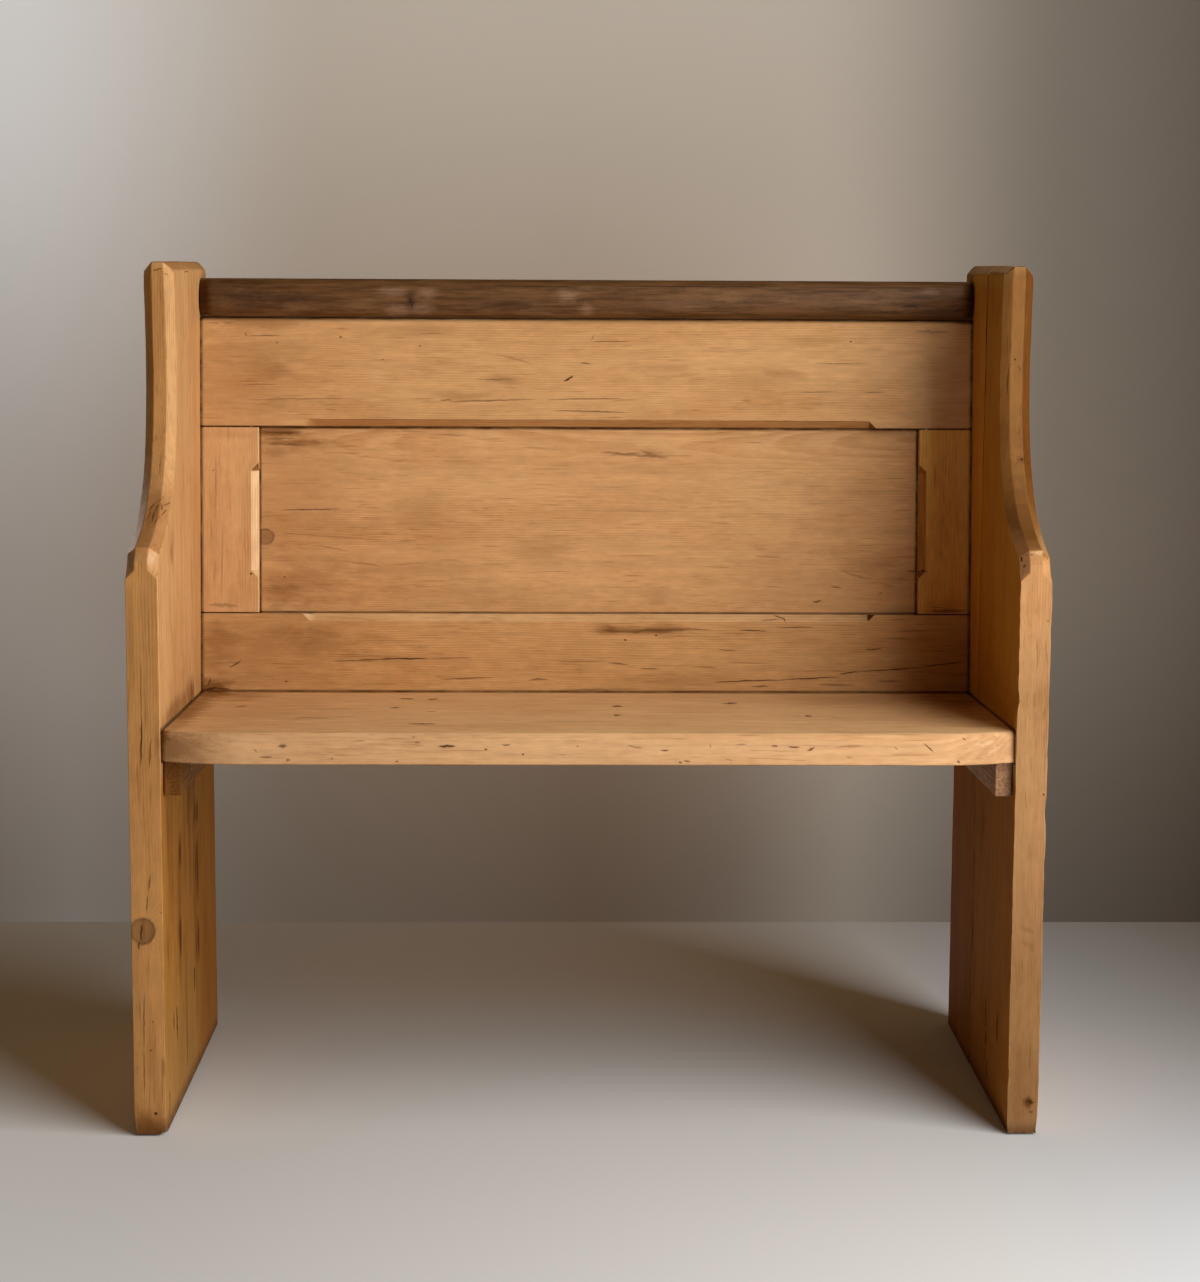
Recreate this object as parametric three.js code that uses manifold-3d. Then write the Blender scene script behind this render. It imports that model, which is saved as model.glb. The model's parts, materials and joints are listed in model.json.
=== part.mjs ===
// A short pew in stripped pine: two solid ends with swept front edges, a thick seat
// that falls to the back, a raked framed back with one recessed panel, and a cap rail.
// Lengths are in millimetres. +Z is up, +Y is the back of the bench, +X is to the
// right of someone who looks at its front.
import * as THREE from "three";
import { mergeVertices } from "three/addons/utils/BufferGeometryUtils.js";
import Module from "manifold-3d";

const wasm = await Module();
wasm.setup();

// Overall sizes and angles
const benchWidth = 1000;
const seatHeight = 456; // top of the seat's front edge
const seatOverhang = 12; // of the seat in front of the ends
const sittingDepth = 295; // from the ends' front edge to the back, at the seat
const seatFall = THREE.MathUtils.degToRad(2.05);
const backRake = THREE.MathUtils.degToRad(4.25);

// Ends
const endThickness = 36;
const endBehindBack = 97; // behind the face of the back, at the seat
const endJointSetBack = 55; // of the joint between an end's boards, in front of the back
const hornHeight = 19; // of the ends above the cap rail
const shoulderAboveSeat = 198; // the sharp corner at the foot of the sweep
const shoulderFacetRise = 16;
const shoulderFacetDepth = 9;
const sweepRise = 196; // from the shoulder to the straight upper edge
const sweepSetBack = 141; // of the upper edge behind the front edge
const sweepFootPull = 110; // how far the sweep runs on from the shoulder before it bends
const sweepFootSlope = THREE.MathUtils.degToRad(16);
const sweepHeadPull = 100;
const hornLean = 8; // of the upper edge, forward again at the top
const endChamfer = 10.5;
const endChamferStop = 24; // below the shoulder

// Loose tongue in the edge joint of each end
const tongueThickness = 9;
const tongueWidth = 20;
const tongueStop = 70; // from the foot and from the top of the end

// Housings in the ends
const seatHousingDepth = 3;
const backHousingDepth = 8;

// Seat
const seatThickness = 36;
const seatCornerRun = 94;
const seatCornerSetBack = 20;

// Bearers under the seat
const bearerWidth = 19;
const bearerHeight = 38;
const bearerSetBack = 15; // behind the ends' front edge
const bearerBackGap = 0.8; // between a bearer and the back

// Framed back
const railThickness = 22;
const bottomRailSight = 95.3; // height above the seat
const bottomRailLap = 40; // height below the seat's top
const panelSightHeight = 224.4;
const topRailHeight = 130.5;
const leftStileSight = 69.4;
const rightStileSight = 63.2;
const panelRecess = 10;
const panelThickness = 9;
const panelEdge = 9; // of the panel in its groove
const tenonLength = 30;
const tenonShoulder = 12;
const frameChamfer = 9;
const railChamferInset = 52; // from the panel's corners to the chamfer's end
const stileChamferInset = 43;
const railTopEasing = 5; // chamfer along the top rail under the cap

// Cap rail
const capHeight = 47;
const capNoseDepth = 18;
const capNoseProud = 9; // of the rail's face
const capBackProud = 4; // behind the rail's back

// Wood screws with slotted countersunk heads
const screwHeadRadius = 4.3;
const screwShankRadius = 2.2;
const screwHeadHeight = 2.6;
const screwPointLength = 6;
const slotWidth = 1.3;
const slotDepth = 1.3;
const bearerScrewInset = 77; // from the front of a bearer
const bearerScrewBite = 24; // into the end
const seatScrewBite = 22;
const seatBackScrewBite = 30;
const seatBackScrewShares = { left: -0.65, centre: 0, right: 0.65 }; // of half the seat's length

// Cut nails
const nailHeadWidth = 7;
const nailHeadHeight = 2;
const nailThickness = 3;
const nailNeckWidth = 4.6;
const nailTipWidth = 2.2;
const endNailBite = 40; // into a rail
const endNailEdge = 25; // from a rail's outer edge
const endNailSpacing = 50;
const capNailBite = 30;
const capNailShares = [-0.75, -0.25, 0.25, 0.75]; // of half the cap's length

// Clearances
const glueGap = 0.3; // where pieces meet
const capEndGap = 0.6; // between the cap rail and the ends
const tongueEndGap = 2; // in the tongue's groove
const panelPlay = 0.8; // in the panel's groove
const overrun = 20; // of a cutting block past the wood
const leastRun = 0.5; // of a cutting wedge past an arris

const round = { screw: 12, seatCorner: 10, sweep: 12, nose: 14 };

// Places worked out from the sizes
const halfWidth = benchWidth / 2;
const endDepth = sittingDepth + endBehindBack;
const endFrontBoardWidth = sittingDepth - endJointSetBack;
const innerFace = halfWidth - endThickness;
const backFoot = seatHeight - (sittingDepth + seatOverhang) * Math.tan(seatFall);
const panelBottom = bottomRailSight;
const panelTop = panelBottom + panelSightHeight;
const panelBack = panelRecess + panelThickness;
const railTop = panelTop + topRailHeight;
const capTop = railTop + glueGap + capHeight;
const endHeight = backFoot + capTop * Math.cos(backRake) + hornHeight;
const shoulderHeight = seatHeight + shoulderAboveSeat;
const backGrooveEnd = innerFace + backHousingDepth; // |X| of the housings' floor
const frameEnd = backGrooveEnd - glueGap; // |X| of the back frame's ends
const leftFrameEdge = -innerFace + leftStileSight; // X of the opening in the back frame
const rightFrameEdge = innerFace - rightStileSight;

const SIDES = [
  { side: -1, name: "left", frameEdge: leftFrameEdge },
  { side: 1, name: "right", frameEdge: rightFrameEdge },
];

// The three layers in which the pieces are laid out, each with its own frame
function layer(name, frame) {
  const group = new THREE.Group();
  group.name = name;
  frame.decompose(group.position, group.quaternion, group.scale);
  return { group, frame };
}

function tilted(y, z, tilt) {
  return new THREE.Matrix4().makeRotationX(-tilt).setPosition(0, y, z);
}

const ends = layer("ends", new THREE.Matrix4());
const seat = layer("seat", tilted(-seatOverhang, seatHeight, seatFall));
const back = layer("back", tilted(sittingDepth, backFoot, backRake));

const wood = (color, roughness) =>
  new THREE.MeshStandardMaterial({ color, roughness, metalness: 0, flatShading: true });
const metal = (color, roughness) =>
  new THREE.MeshStandardMaterial({ color, roughness, metalness: 1 });

const pine = wood(0xc9965c, 0.55);
const palePine = wood(0xd8ac78, 0.6);
const roughPine = wood(0x8a5f3a, 0.8);
const darkWood = wood(0x5b4030, 0.65);
const screwSteel = metal(0xb9b4aa, 0.35);
const nailIron = metal(0x4a4038, 0.6);

// A closed geometry as a solid, moved by a matrix first
function solidOf(geometry, matrix = new THREE.Matrix4()) {
  const bare = new THREE.BufferGeometry();
  bare.setAttribute("position", geometry.getAttribute("position"));
  if (geometry.index) bare.setIndex(geometry.index);
  const moved = mergeVertices(bare.clone().applyMatrix4(matrix));
  return new wasm.Manifold(
    new wasm.Mesh({
      numProp: 3,
      vertProperties: new Float32Array(moved.attributes.position.array),
      triVerts: new Uint32Array(moved.index.array),
    }),
  );
}

function geometryOf(solid) {
  const mesh = solid.getMesh();
  const made = new THREE.BufferGeometry();
  made.setAttribute("position", new THREE.BufferAttribute(mesh.vertProperties, 3));
  made.setIndex(new THREE.BufferAttribute(mesh.triVerts, 1));
  made.computeVertexNormals();
  return made;
}

function place({ group }, name, geometry, material) {
  const mesh = new THREE.Mesh(geometry, material);
  mesh.name = name;
  group.add(mesh);
  return mesh;
}

const cut = (solid, tools) => tools.reduce((rest, tool) => rest.subtract(tool), solid);
const join = (solids) => solids.reduce((sum, solid) => sum.add(solid));

// A block between two corners
function block(low, high) {
  const size = high.map((value, axis) => value - low[axis]);
  const middle = high.map((value, axis) => (value + low[axis]) / 2);
  return new THREE.BoxGeometry(...size).translate(...middle);
}

// The matrix that takes a geometry from one layer to another
function between(from, to) {
  return to.frame.clone().invert().multiply(from.frame);
}

// A block that reaches from X = a to X = b, whichever is larger
function blockAcross(a, b, [y0, z0], [y1, z1]) {
  return block([Math.min(a, b), y0, z0], [Math.max(a, b), y1, z1]);
}

// Fasteners. Each is laid out with its head's face at the origin and its point down -Y.
function screwBody(length, clearance) {
  const outline = [
    [0, -length - clearance],
    [screwShankRadius + clearance, -length + screwPointLength - clearance],
    [screwShankRadius + clearance, -screwHeadHeight - clearance],
    [screwHeadRadius + clearance, 0],
    [0, 0],
  ];
  const points = outline.map(([r, y]) => new THREE.Vector2(r, y));
  return new THREE.LatheGeometry(points, round.screw);
}

function screw(length) {
  const slot = block(
    [-screwHeadRadius - overrun, -slotDepth, -slotWidth / 2],
    [screwHeadRadius + overrun, overrun, slotWidth / 2],
  );
  return solidOf(screwBody(length, 0)).subtract(solidOf(slot));
}

// A screw's hole, open above the head so that it cuts the wood's face cleanly
function screwHole(length, matrix) {
  const mouth = new THREE.CylinderGeometry(
    screwHeadRadius + glueGap,
    screwHeadRadius + glueGap,
    leastRun,
    round.screw,
  ).translate(0, leastRun / 2, 0);
  return solidOf(screwBody(length, glueGap), matrix).add(solidOf(mouth, matrix));
}

function nailBody(length, clearance, above) {
  const half = nailHeadWidth / 2 + clearance;
  const neck = nailNeckWidth / 2 + clearance;
  const tip = nailTipWidth / 2 + clearance;
  const shape = new THREE.Shape([
    new THREE.Vector2(-half, above),
    new THREE.Vector2(-half, -nailHeadHeight - clearance),
    new THREE.Vector2(-neck, -nailHeadHeight - clearance),
    new THREE.Vector2(-tip, -length - clearance),
    new THREE.Vector2(tip, -length - clearance),
    new THREE.Vector2(neck, -nailHeadHeight - clearance),
    new THREE.Vector2(half, -nailHeadHeight - clearance),
    new THREE.Vector2(half, above),
  ]);
  const depth = nailThickness + 2 * clearance;
  return new THREE.ExtrudeGeometry(shape, { depth, bevelEnabled: false }).translate(0, 0, -depth / 2);
}

// Each kind of fastener, with the hole that it leaves in the wood
const screws = {
  material: screwSteel,
  body: (length) => geometryOf(screw(length)),
  hole: screwHole,
};
const nails = {
  material: nailIron,
  body: (length) => nailBody(length, 0, 0),
  hole: (length, matrix) => solidOf(nailBody(length, glueGap, leastRun), matrix),
};

// Drives a fastener into a layer, with its head at a place and its point along a way.
// It gives back what the fastener takes from a piece of any layer.
function drive(kind, home, name, at, way, length) {
  const mesh = place(home, name, kind.body(length), kind.material);
  mesh.position.set(...at);
  mesh.quaternion.setFromUnitVectors(new THREE.Vector3(0, -1, 0), new THREE.Vector3(...way));
  mesh.updateMatrix();
  return (target) => kind.hole(length, between(home, target).multiply(mesh.matrix));
}

const holesIn = (target, fasteners) => fasteners.map((hole) => hole(target));

// The line of a bearer, in the seat's frame
const bearerFront = (bearerSetBack + seatOverhang) / Math.cos(seatFall);
const seatBackEdge = (sittingDepth + seatOverhang) / Math.cos(seatFall);
const bearerBack = seatBackEdge - bearerHeight * Math.tan(backRake) - bearerBackGap;
const bearerTop = -seatThickness - glueGap;
const bearerInner = innerFace - glueGap - bearerWidth;
const boardJoint = (endFrontBoardWidth + seatOverhang) / Math.cos(seatFall);

const firstScrew = bearerFront + bearerScrewInset;
const lastScrew = (boardJoint + bearerBack) / 2; // in the end's rear board

function bearerScrews({ side, name }) {
  const stations = { front: firstScrew, middle: (firstScrew + lastScrew) / 2, rear: lastScrew };
  const length = bearerWidth + glueGap + bearerScrewBite;
  return Object.entries(stations).map(([where, y]) => {
    const at = [side * bearerInner, y, bearerTop - bearerHeight / 2];
    return drive(screws, seat, `${name}_bearer_screw_${where}`, at, [side, 0, 0], length);
  });
}

function seatScrews({ side, name }) {
  const quarter = (lastScrew - firstScrew) / 4;
  const stations = { front: firstScrew + quarter, rear: lastScrew - quarter };
  const length = bearerHeight + glueGap + seatScrewBite;
  return Object.entries(stations).map(([where, y]) => {
    const at = [side * (bearerInner + bearerWidth / 2), y, bearerTop - bearerHeight];
    return drive(screws, seat, `${name}_seat_screw_${where}`, at, [0, 0, 1], length);
  });
}

function seatBackScrews() {
  const length = railThickness + glueGap + seatBackScrewBite;
  return Object.entries(seatBackScrewShares).map(([where, share]) => {
    const at = [share * innerFace, railThickness, -seatThickness / 2];
    return drive(screws, back, `seat_back_screw_${where}`, at, [0, -1, 0], length);
  });
}

// Two nails through an end into a rail, counted from the rail's outer edge
function endNails({ side, name }, rail, outerEdge, inward) {
  const length = halfWidth - frameEnd + endNailBite;
  return [0, 1].map((count) => {
    const height = outerEdge + inward * (endNailEdge + count * endNailSpacing);
    const at = [side * halfWidth, railThickness / 2, height];
    return drive(nails, back, `${name}_${rail}_nail_${count + 1}`, at, [-side, 0, 0], length);
  });
}

function capNails() {
  const length = capHeight + glueGap + capNailBite;
  return capNailShares.map((share, i) => {
    const at = [share * innerFace, railThickness / 2, capTop];
    return drive(nails, back, `cap_nail_${i + 1}`, at, [0, 0, -1], length);
  });
}

// Turns a section drawn in (Y, Z) so that it is extruded along X
const sideView = new THREE.Matrix4().makeBasis(
  new THREE.Vector3(0, 1, 0),
  new THREE.Vector3(0, 0, 1),
  new THREE.Vector3(1, 0, 0),
);

// The side view of an end, in (Y, Z)
function endOutline() {
  const corner = new THREE.Vector2(shoulderFacetDepth, shoulderHeight);
  const foot = new THREE.Vector2(Math.cos(sweepFootSlope), Math.sin(sweepFootSlope));
  foot.multiplyScalar(sweepFootPull).add(corner);
  const head = new THREE.Vector2(sweepSetBack, shoulderHeight + sweepRise);
  const shape = new THREE.Shape();
  shape.moveTo(0, 0);
  shape.lineTo(endDepth, 0);
  shape.lineTo(endDepth, endHeight);
  shape.lineTo(sweepSetBack - hornLean, endHeight);
  shape.lineTo(head.x, head.y);
  shape.bezierCurveTo(head.x, head.y - sweepHeadPull, foot.x, foot.y, corner.x, corner.y);
  shape.lineTo(0, shoulderHeight - shoulderFacetRise);
  shape.closePath();
  return shape;
}

// An end before its joints are cut. The arrises are chamfered above the stops
function endBlank(side) {
  const low = side < 0 ? -halfWidth : innerFace;
  const shape = endOutline();
  const square = new THREE.ExtrudeGeometry(shape, {
    depth: endThickness,
    bevelEnabled: false,
    curveSegments: round.sweep,
  });
  const chamfered = new THREE.ExtrudeGeometry(shape, {
    depth: endThickness - 2 * endChamfer,
    bevelThickness: endChamfer,
    bevelSize: endChamfer,
    bevelOffset: -endChamfer,
    bevelSegments: 1,
    curveSegments: round.sweep,
  }).translate(0, 0, endChamfer);
  const placed = new THREE.Matrix4().makeTranslation(low, 0, 0).multiply(sideView);
  const body = solidOf(chamfered, placed);
  const plain = solidOf(square, placed);
  return body.add(plain.intersect(squarePart(low)));
}

// Where an end's arrises stay square: below the foot of the chamfers' stops, and in the
// stops, which are flat facets that slope up and in from each arris
function squarePart(low) {
  const foot = shoulderHeight - endChamferStop - endChamfer;
  const high = low + endThickness;
  const outside = [-overrun, -overrun];
  const below = block([low - overrun, ...outside], [high + overrun, endDepth + overrun, foot]);
  const stops = [[low, 1], [high, -1]].flatMap(([arrisX, inX]) =>
    [[0, 1], [endDepth, -1]].map(([arrisY, inY]) =>
      chamferStop([arrisX, arrisY], [inX, inY], foot),
    ),
  );
  return join([solidOf(below), ...stops]);
}

// One chamfer's stop. Inward gives the way from the arris into the wood along X and Y
function chamferStop(arris, inward, foot) {
  const reach = [0, 1].map((axis) =>
    [-overrun, endChamfer].map((run) => arris[axis] + inward[axis] * run).sort((a, b) => a - b),
  );
  const [x, y] = reach;
  const made = block([x[0], y[0], 0], [x[1], y[1], foot]);
  const points = made.getAttribute("position");
  for (let i = 0; i < points.count; i += 1) {
    if (points.getZ(i) < foot) continue;
    const inX = (points.getX(i) - arris[0]) * inward[0];
    const inY = (points.getY(i) - arris[1]) * inward[1];
    points.setZ(i, foot + inX + inY);
  }
  return solidOf(made);
}

// The housings that an end has for the seat and for the back
function endHousings(side) {
  const air = side * (innerFace - overrun);
  const forSeat = blockAcross(
    air,
    side * (innerFace + seatHousingDepth),
    [-overrun, -seatThickness - glueGap],
    [seatBackEdge + railThickness / 2, glueGap],
  );
  const forBack = blockAcross(
    air,
    side * backGrooveEnd,
    [-glueGap, -bottomRailLap - glueGap],
    [railThickness + glueGap, railTop + glueGap],
  );
  return [solidOf(forSeat, between(seat, ends)), solidOf(forBack, between(back, ends))];
}

function tongue(side, clearance, endClearance) {
  const middle = side * (halfWidth - endThickness / 2);
  const half = tongueThickness / 2 + clearance;
  const reach = tongueWidth / 2 + endClearance;
  return block(
    [middle - half, endFrontBoardWidth - reach, tongueStop - endClearance],
    [middle + half, endFrontBoardWidth + reach, endHeight - tongueStop + endClearance],
  );
}

function buildEnd({ side, name }, fasteners) {
  const groove = solidOf(tongue(side, glueGap, tongueEndGap));
  const blank = cut(endBlank(side), [...endHousings(side), groove, ...holesIn(ends, fasteners)]);
  const boards = {
    front: [-overrun, endFrontBoardWidth - glueGap / 2],
    rear: [endFrontBoardWidth + glueGap / 2, endDepth + overrun],
  };
  const out = halfWidth + overrun;
  for (const [where, [from, to]] of Object.entries(boards)) {
    const part = solidOf(block([-out, from, -overrun], [out, to, endHeight + overrun]));
    place(ends, `${name}_end_${where}_board`, geometryOf(blank.intersect(part)), pine);
  }
  place(ends, `${name}_end_tongue`, tongue(side, 0, 0), roughPine);
}

// The seat's outline from above, in the seat's frame, with its front edge on Y = 0
function seatOutline() {
  const end = innerFace + seatHousingDepth - glueGap;
  const radius = (seatCornerRun ** 2 + seatCornerSetBack ** 2) / (2 * seatCornerSetBack);
  const turn = Math.asin(seatCornerRun / radius);
  const down = -Math.PI / 2;
  const back = seatBackEdge + railThickness;
  const shape = new THREE.Shape();
  shape.moveTo(-end, back);
  shape.lineTo(-end, seatCornerSetBack);
  shape.absarc(-end + seatCornerRun, radius, radius, down - turn, down, false);
  shape.absarc(end - seatCornerRun, radius, radius, down, down + turn, false);
  shape.lineTo(end, back);
  shape.closePath();
  return shape;
}

function buildSeat(fasteners) {
  const board = new THREE.ExtrudeGeometry(seatOutline(), {
    depth: seatThickness,
    bevelEnabled: false,
    curveSegments: round.seatCorner,
  }).translate(0, 0, -seatThickness);
  const behind = block([-halfWidth, -glueGap, -halfWidth], [halfWidth, halfWidth, halfWidth]);
  const made = cut(solidOf(board), [
    solidOf(behind, between(back, seat)),
    ...holesIn(seat, fasteners),
  ]);
  place(seat, "seat_board", geometryOf(made), palePine);
}

function buildBearer({ side, name }, fasteners) {
  const board = blockAcross(
    side * bearerInner,
    side * (bearerInner + bearerWidth),
    [bearerFront, bearerTop - bearerHeight],
    [bearerBack, bearerTop],
  );
  const made = cut(solidOf(board), holesIn(seat, fasteners));
  place(seat, `${name}_seat_bearer`, geometryOf(made), roughPine);
}

// What a chamfer with a flat sloping stop at each end takes away. The arris lies along
// one way, and the wood is on the side of two others, inward and deep.
function stoppedChamfer(from, to, along, inward, deep, origin) {
  const over = frameChamfer + leastRun;
  const points = [
    [from + frameChamfer, -leastRun, over],
    [from + frameChamfer, over, -leastRun],
    [from - 2 * leastRun, -leastRun, -leastRun],
    [to - frameChamfer, -leastRun, over],
    [to - frameChamfer, over, -leastRun],
    [to + 2 * leastRun, -leastRun, -leastRun],
  ];
  const faces = [0, 1, 2, 3, 5, 4, 0, 3, 1, 1, 3, 4, 1, 4, 2, 2, 4, 5, 2, 5, 0, 0, 5, 3];
  const ways = [along, inward, deep].map((way) => new THREE.Vector3(...way));
  const matrix = new THREE.Matrix4().makeBasis(...ways).setPosition(...origin);
  const mirrored = matrix.determinant() < 0;
  const wedge = new THREE.BufferGeometry();
  wedge.setAttribute("position", new THREE.Float32BufferAttribute(points.flat(), 3));
  wedge.setIndex(mirrored ? faces.reverse() : faces);
  return solidOf(wedge, matrix);
}

// The panel and its groove, grown by a clearance at the faces and at the edges
function panelBlock(faceClearance, edgeClearance) {
  const edge = panelEdge + edgeClearance;
  return block(
    [leftFrameEdge - edge, panelRecess - faceClearance, panelBottom - edge],
    [rightFrameEdge + edge, panelBack + faceClearance, panelTop + edge],
  );
}

// The tenons at both ends of a stile, as one block that runs through it
function tenons({ side, frameEdge }, clearance) {
  const reach = tenonLength + clearance;
  return blockAcross(
    side * (frameEnd - tenonShoulder + clearance),
    frameEdge + side * (tenonShoulder - clearance),
    [panelRecess - clearance, panelBottom - reach],
    [panelBack + clearance, panelTop + reach],
  );
}

function buildRail(name, [bottom, top], cuts, fasteners) {
  const board = block([-frameEnd, 0, bottom], [frameEnd, railThickness, top]);
  const made = cut(solidOf(board), [
    solidOf(panelBlock(glueGap, panelPlay)),
    ...SIDES.map((end) => solidOf(tenons(end, glueGap))),
    ...cuts,
    ...holesIn(back, fasteners),
  ]);
  place(back, name, geometryOf(made), pine);
}

// The chamfer along a rail's edge at the panel, with the rail's wood above or below it
function railChamfer(height, up) {
  const from = leftFrameEdge + railChamferInset;
  const to = rightFrameEdge - railChamferInset;
  return stoppedChamfer(from, to, [1, 0, 0], [0, 1, 0], [0, 0, up], [0, 0, height]);
}

// The small chamfer along the top rail, under the nose of the cap
function topEasing() {
  const side = railTopEasing * Math.SQRT2;
  const bar = new THREE.BoxGeometry(benchWidth, side, side);
  return solidOf(bar.rotateX(Math.PI / 4).translate(0, 0, railTop));
}

function buildStile(end) {
  const { side, name, frameEdge } = end;
  const board = blockAcross(
    side * frameEnd,
    frameEdge,
    [0, panelBottom + glueGap],
    [railThickness, panelTop - glueGap],
  );
  const from = panelBottom + stileChamferInset;
  const to = panelTop - stileChamferInset;
  const chamfer = stoppedChamfer(from, to, [0, 0, 1], [side, 0, 0], [0, 1, 0], [frameEdge, 0, 0]);
  const tenoned = join([solidOf(board), solidOf(tenons(end, 0))]);
  const made = cut(tenoned, [solidOf(panelBlock(glueGap, panelPlay)), chamfer]);
  place(back, `${name}_stile`, geometryOf(made), palePine);
}

// The cap rail's section, in (Y, Z), with a half-oval nose
function capOutline() {
  const bottom = railTop + glueGap;
  const noseBack = capNoseDepth - capNoseProud;
  const back = railThickness + capBackProud;
  const shape = new THREE.Shape();
  shape.moveTo(back, bottom);
  shape.lineTo(back, capTop);
  shape.lineTo(noseBack, capTop);
  shape.absellipse(
    noseBack,
    (bottom + capTop) / 2,
    capNoseDepth,
    capHeight / 2,
    Math.PI / 2,
    (3 * Math.PI) / 2,
    false,
  );
  shape.closePath();
  return shape;
}

function buildCap(fasteners) {
  const half = innerFace - capEndGap;
  const section = new THREE.ExtrudeGeometry(capOutline(), {
    depth: 2 * half,
    bevelEnabled: false,
    curveSegments: round.nose,
  }).translate(0, 0, -half);
  const made = cut(solidOf(section, sideView), holesIn(back, fasteners));
  place(back, "cap_rail", geometryOf(made), darkWood);
}

function buildBench() {
  const toBack = seatBackScrews();
  const throughCap = capNails();
  const inSeat = [...toBack];
  const inBottomRail = [...toBack];
  const inTopRail = [...throughCap];
  for (const end of SIDES) {
    const toEnd = bearerScrews(end);
    const toSeat = seatScrews(end);
    const toTopRail = endNails(end, "top_rail", railTop, -1);
    const toBottomRail = endNails(end, "bottom_rail", -bottomRailLap, 1);
    buildEnd(end, [...toEnd, ...toTopRail, ...toBottomRail]);
    buildBearer(end, [...toEnd, ...toSeat]);
    buildStile(end);
    inSeat.push(...toSeat);
    inTopRail.push(...toTopRail);
    inBottomRail.push(...toBottomRail);
  }
  buildSeat(inSeat);
  buildRail("top_rail", [panelTop, railTop], [railChamfer(panelTop, 1), topEasing()], inTopRail);
  buildRail("bottom_rail", [-bottomRailLap, panelBottom], [railChamfer(panelBottom, -1)], inBottomRail);
  place(back, "back_panel", panelBlock(0, 0), palePine);
  buildCap(throughCap);
}

buildBench();

// The origin is on the floor, under the middle of the whole bench
const bench = new THREE.Group();
bench.name = "pine_pew_bench";
const standing = new THREE.Group();
const foremost = -seatOverhang - seatThickness * Math.sin(seatFall);
standing.position.y = -(endDepth + foremost) / 2;
standing.add(ends.group, seat.group, back.group);
bench.add(standing);

export default bench;
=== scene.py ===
"""A short pew in stripped and oiled pine, with worn boards, on a pale floor."""
import json
import math
import random

import bmesh
import bpy
from mathutils import Matrix, Vector, noise
from mathutils.bvhtree import BVHTree

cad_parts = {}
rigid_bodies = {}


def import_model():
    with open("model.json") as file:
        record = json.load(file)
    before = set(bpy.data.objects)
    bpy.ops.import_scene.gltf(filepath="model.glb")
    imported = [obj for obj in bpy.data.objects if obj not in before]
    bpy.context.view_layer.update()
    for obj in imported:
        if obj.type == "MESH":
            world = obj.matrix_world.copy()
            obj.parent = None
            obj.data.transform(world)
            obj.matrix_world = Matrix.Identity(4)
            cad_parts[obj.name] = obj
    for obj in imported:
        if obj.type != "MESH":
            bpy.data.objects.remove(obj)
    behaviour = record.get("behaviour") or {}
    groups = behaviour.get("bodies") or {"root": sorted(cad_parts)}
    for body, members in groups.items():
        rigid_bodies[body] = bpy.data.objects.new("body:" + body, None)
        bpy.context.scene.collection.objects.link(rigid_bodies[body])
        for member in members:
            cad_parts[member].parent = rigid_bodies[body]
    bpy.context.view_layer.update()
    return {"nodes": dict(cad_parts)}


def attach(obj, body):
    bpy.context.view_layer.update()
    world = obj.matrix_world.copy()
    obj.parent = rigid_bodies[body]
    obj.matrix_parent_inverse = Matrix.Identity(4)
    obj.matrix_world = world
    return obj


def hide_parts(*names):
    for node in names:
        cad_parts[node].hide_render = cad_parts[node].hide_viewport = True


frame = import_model()

MM = 0.001
X, Y, Z = 0, 1, 2
FORWARDS, UPWARDS, TO_THE_RIGHT, TO_THE_LEFT = (0, -1, 0), (0, 0, 1), (1, 0, 0), (-1, 0, 0)
ROW_SETBACK = 0.189356  # of the ends' front edge in front of the row's origin
RAKE = math.radians(4.25)  # of the back
FALL = math.radians(2.05)  # of the seat
INNER, OUTER = 464, 500  # an end's faces, in millimetres from the bench's middle
HOUSED = 467  # the floor of the seat's housing in an end, in millimetres from the middle
EDGE_JOINT = 50.65  # of an end's two boards, in millimetres behind the row's origin
CROWN = 0.944  # metres above the floor: an end's edges above this are its crown


def bench(x, y, z):
    """A point given in millimetres from the middle of the ends' front edge, at the floor."""
    return Vector((x * MM, y * MM - ROW_SETBACK, z * MM))


# ---------------------------------------------------------------- faces of the boards

class Face:
    """A flat face of the bench. Marks on it are placed in millimetres, right and up."""

    def __init__(self, corner, right, up):
        self.corner = corner
        self.right = Vector(right)
        self.up = Vector(up)
        self.out = self.right.cross(self.up)

    def point(self, right, up, out=0.0):
        return self.corner + (self.right * right + self.up * up + self.out * out) * MM


SEAT_CORNER = bench(0, -12, 456)  # the middle of the seat's upper front edge
BACK = Face(bench(0, 295, 445), TO_THE_RIGHT, (0, math.sin(RAKE), math.cos(RAKE)))
SEAT_TOP = Face(SEAT_CORNER, TO_THE_RIGHT, (0, math.cos(FALL), -math.sin(FALL)))
SEAT_FRONT = Face(SEAT_CORNER, TO_THE_RIGHT, (0, math.sin(FALL), math.cos(FALL)))
END_FRONT = Face(bench(0, 0, 0), TO_THE_RIGHT, UPWARDS)
LEFT_INSIDE = Face(bench(-INNER, 0, 0), (0, 1, 0), UPWARDS)
RIGHT_INSIDE = Face(bench(INNER, 0, 0), FORWARDS, UPWARDS)


# ---------------------------------------------------------------- materials

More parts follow.
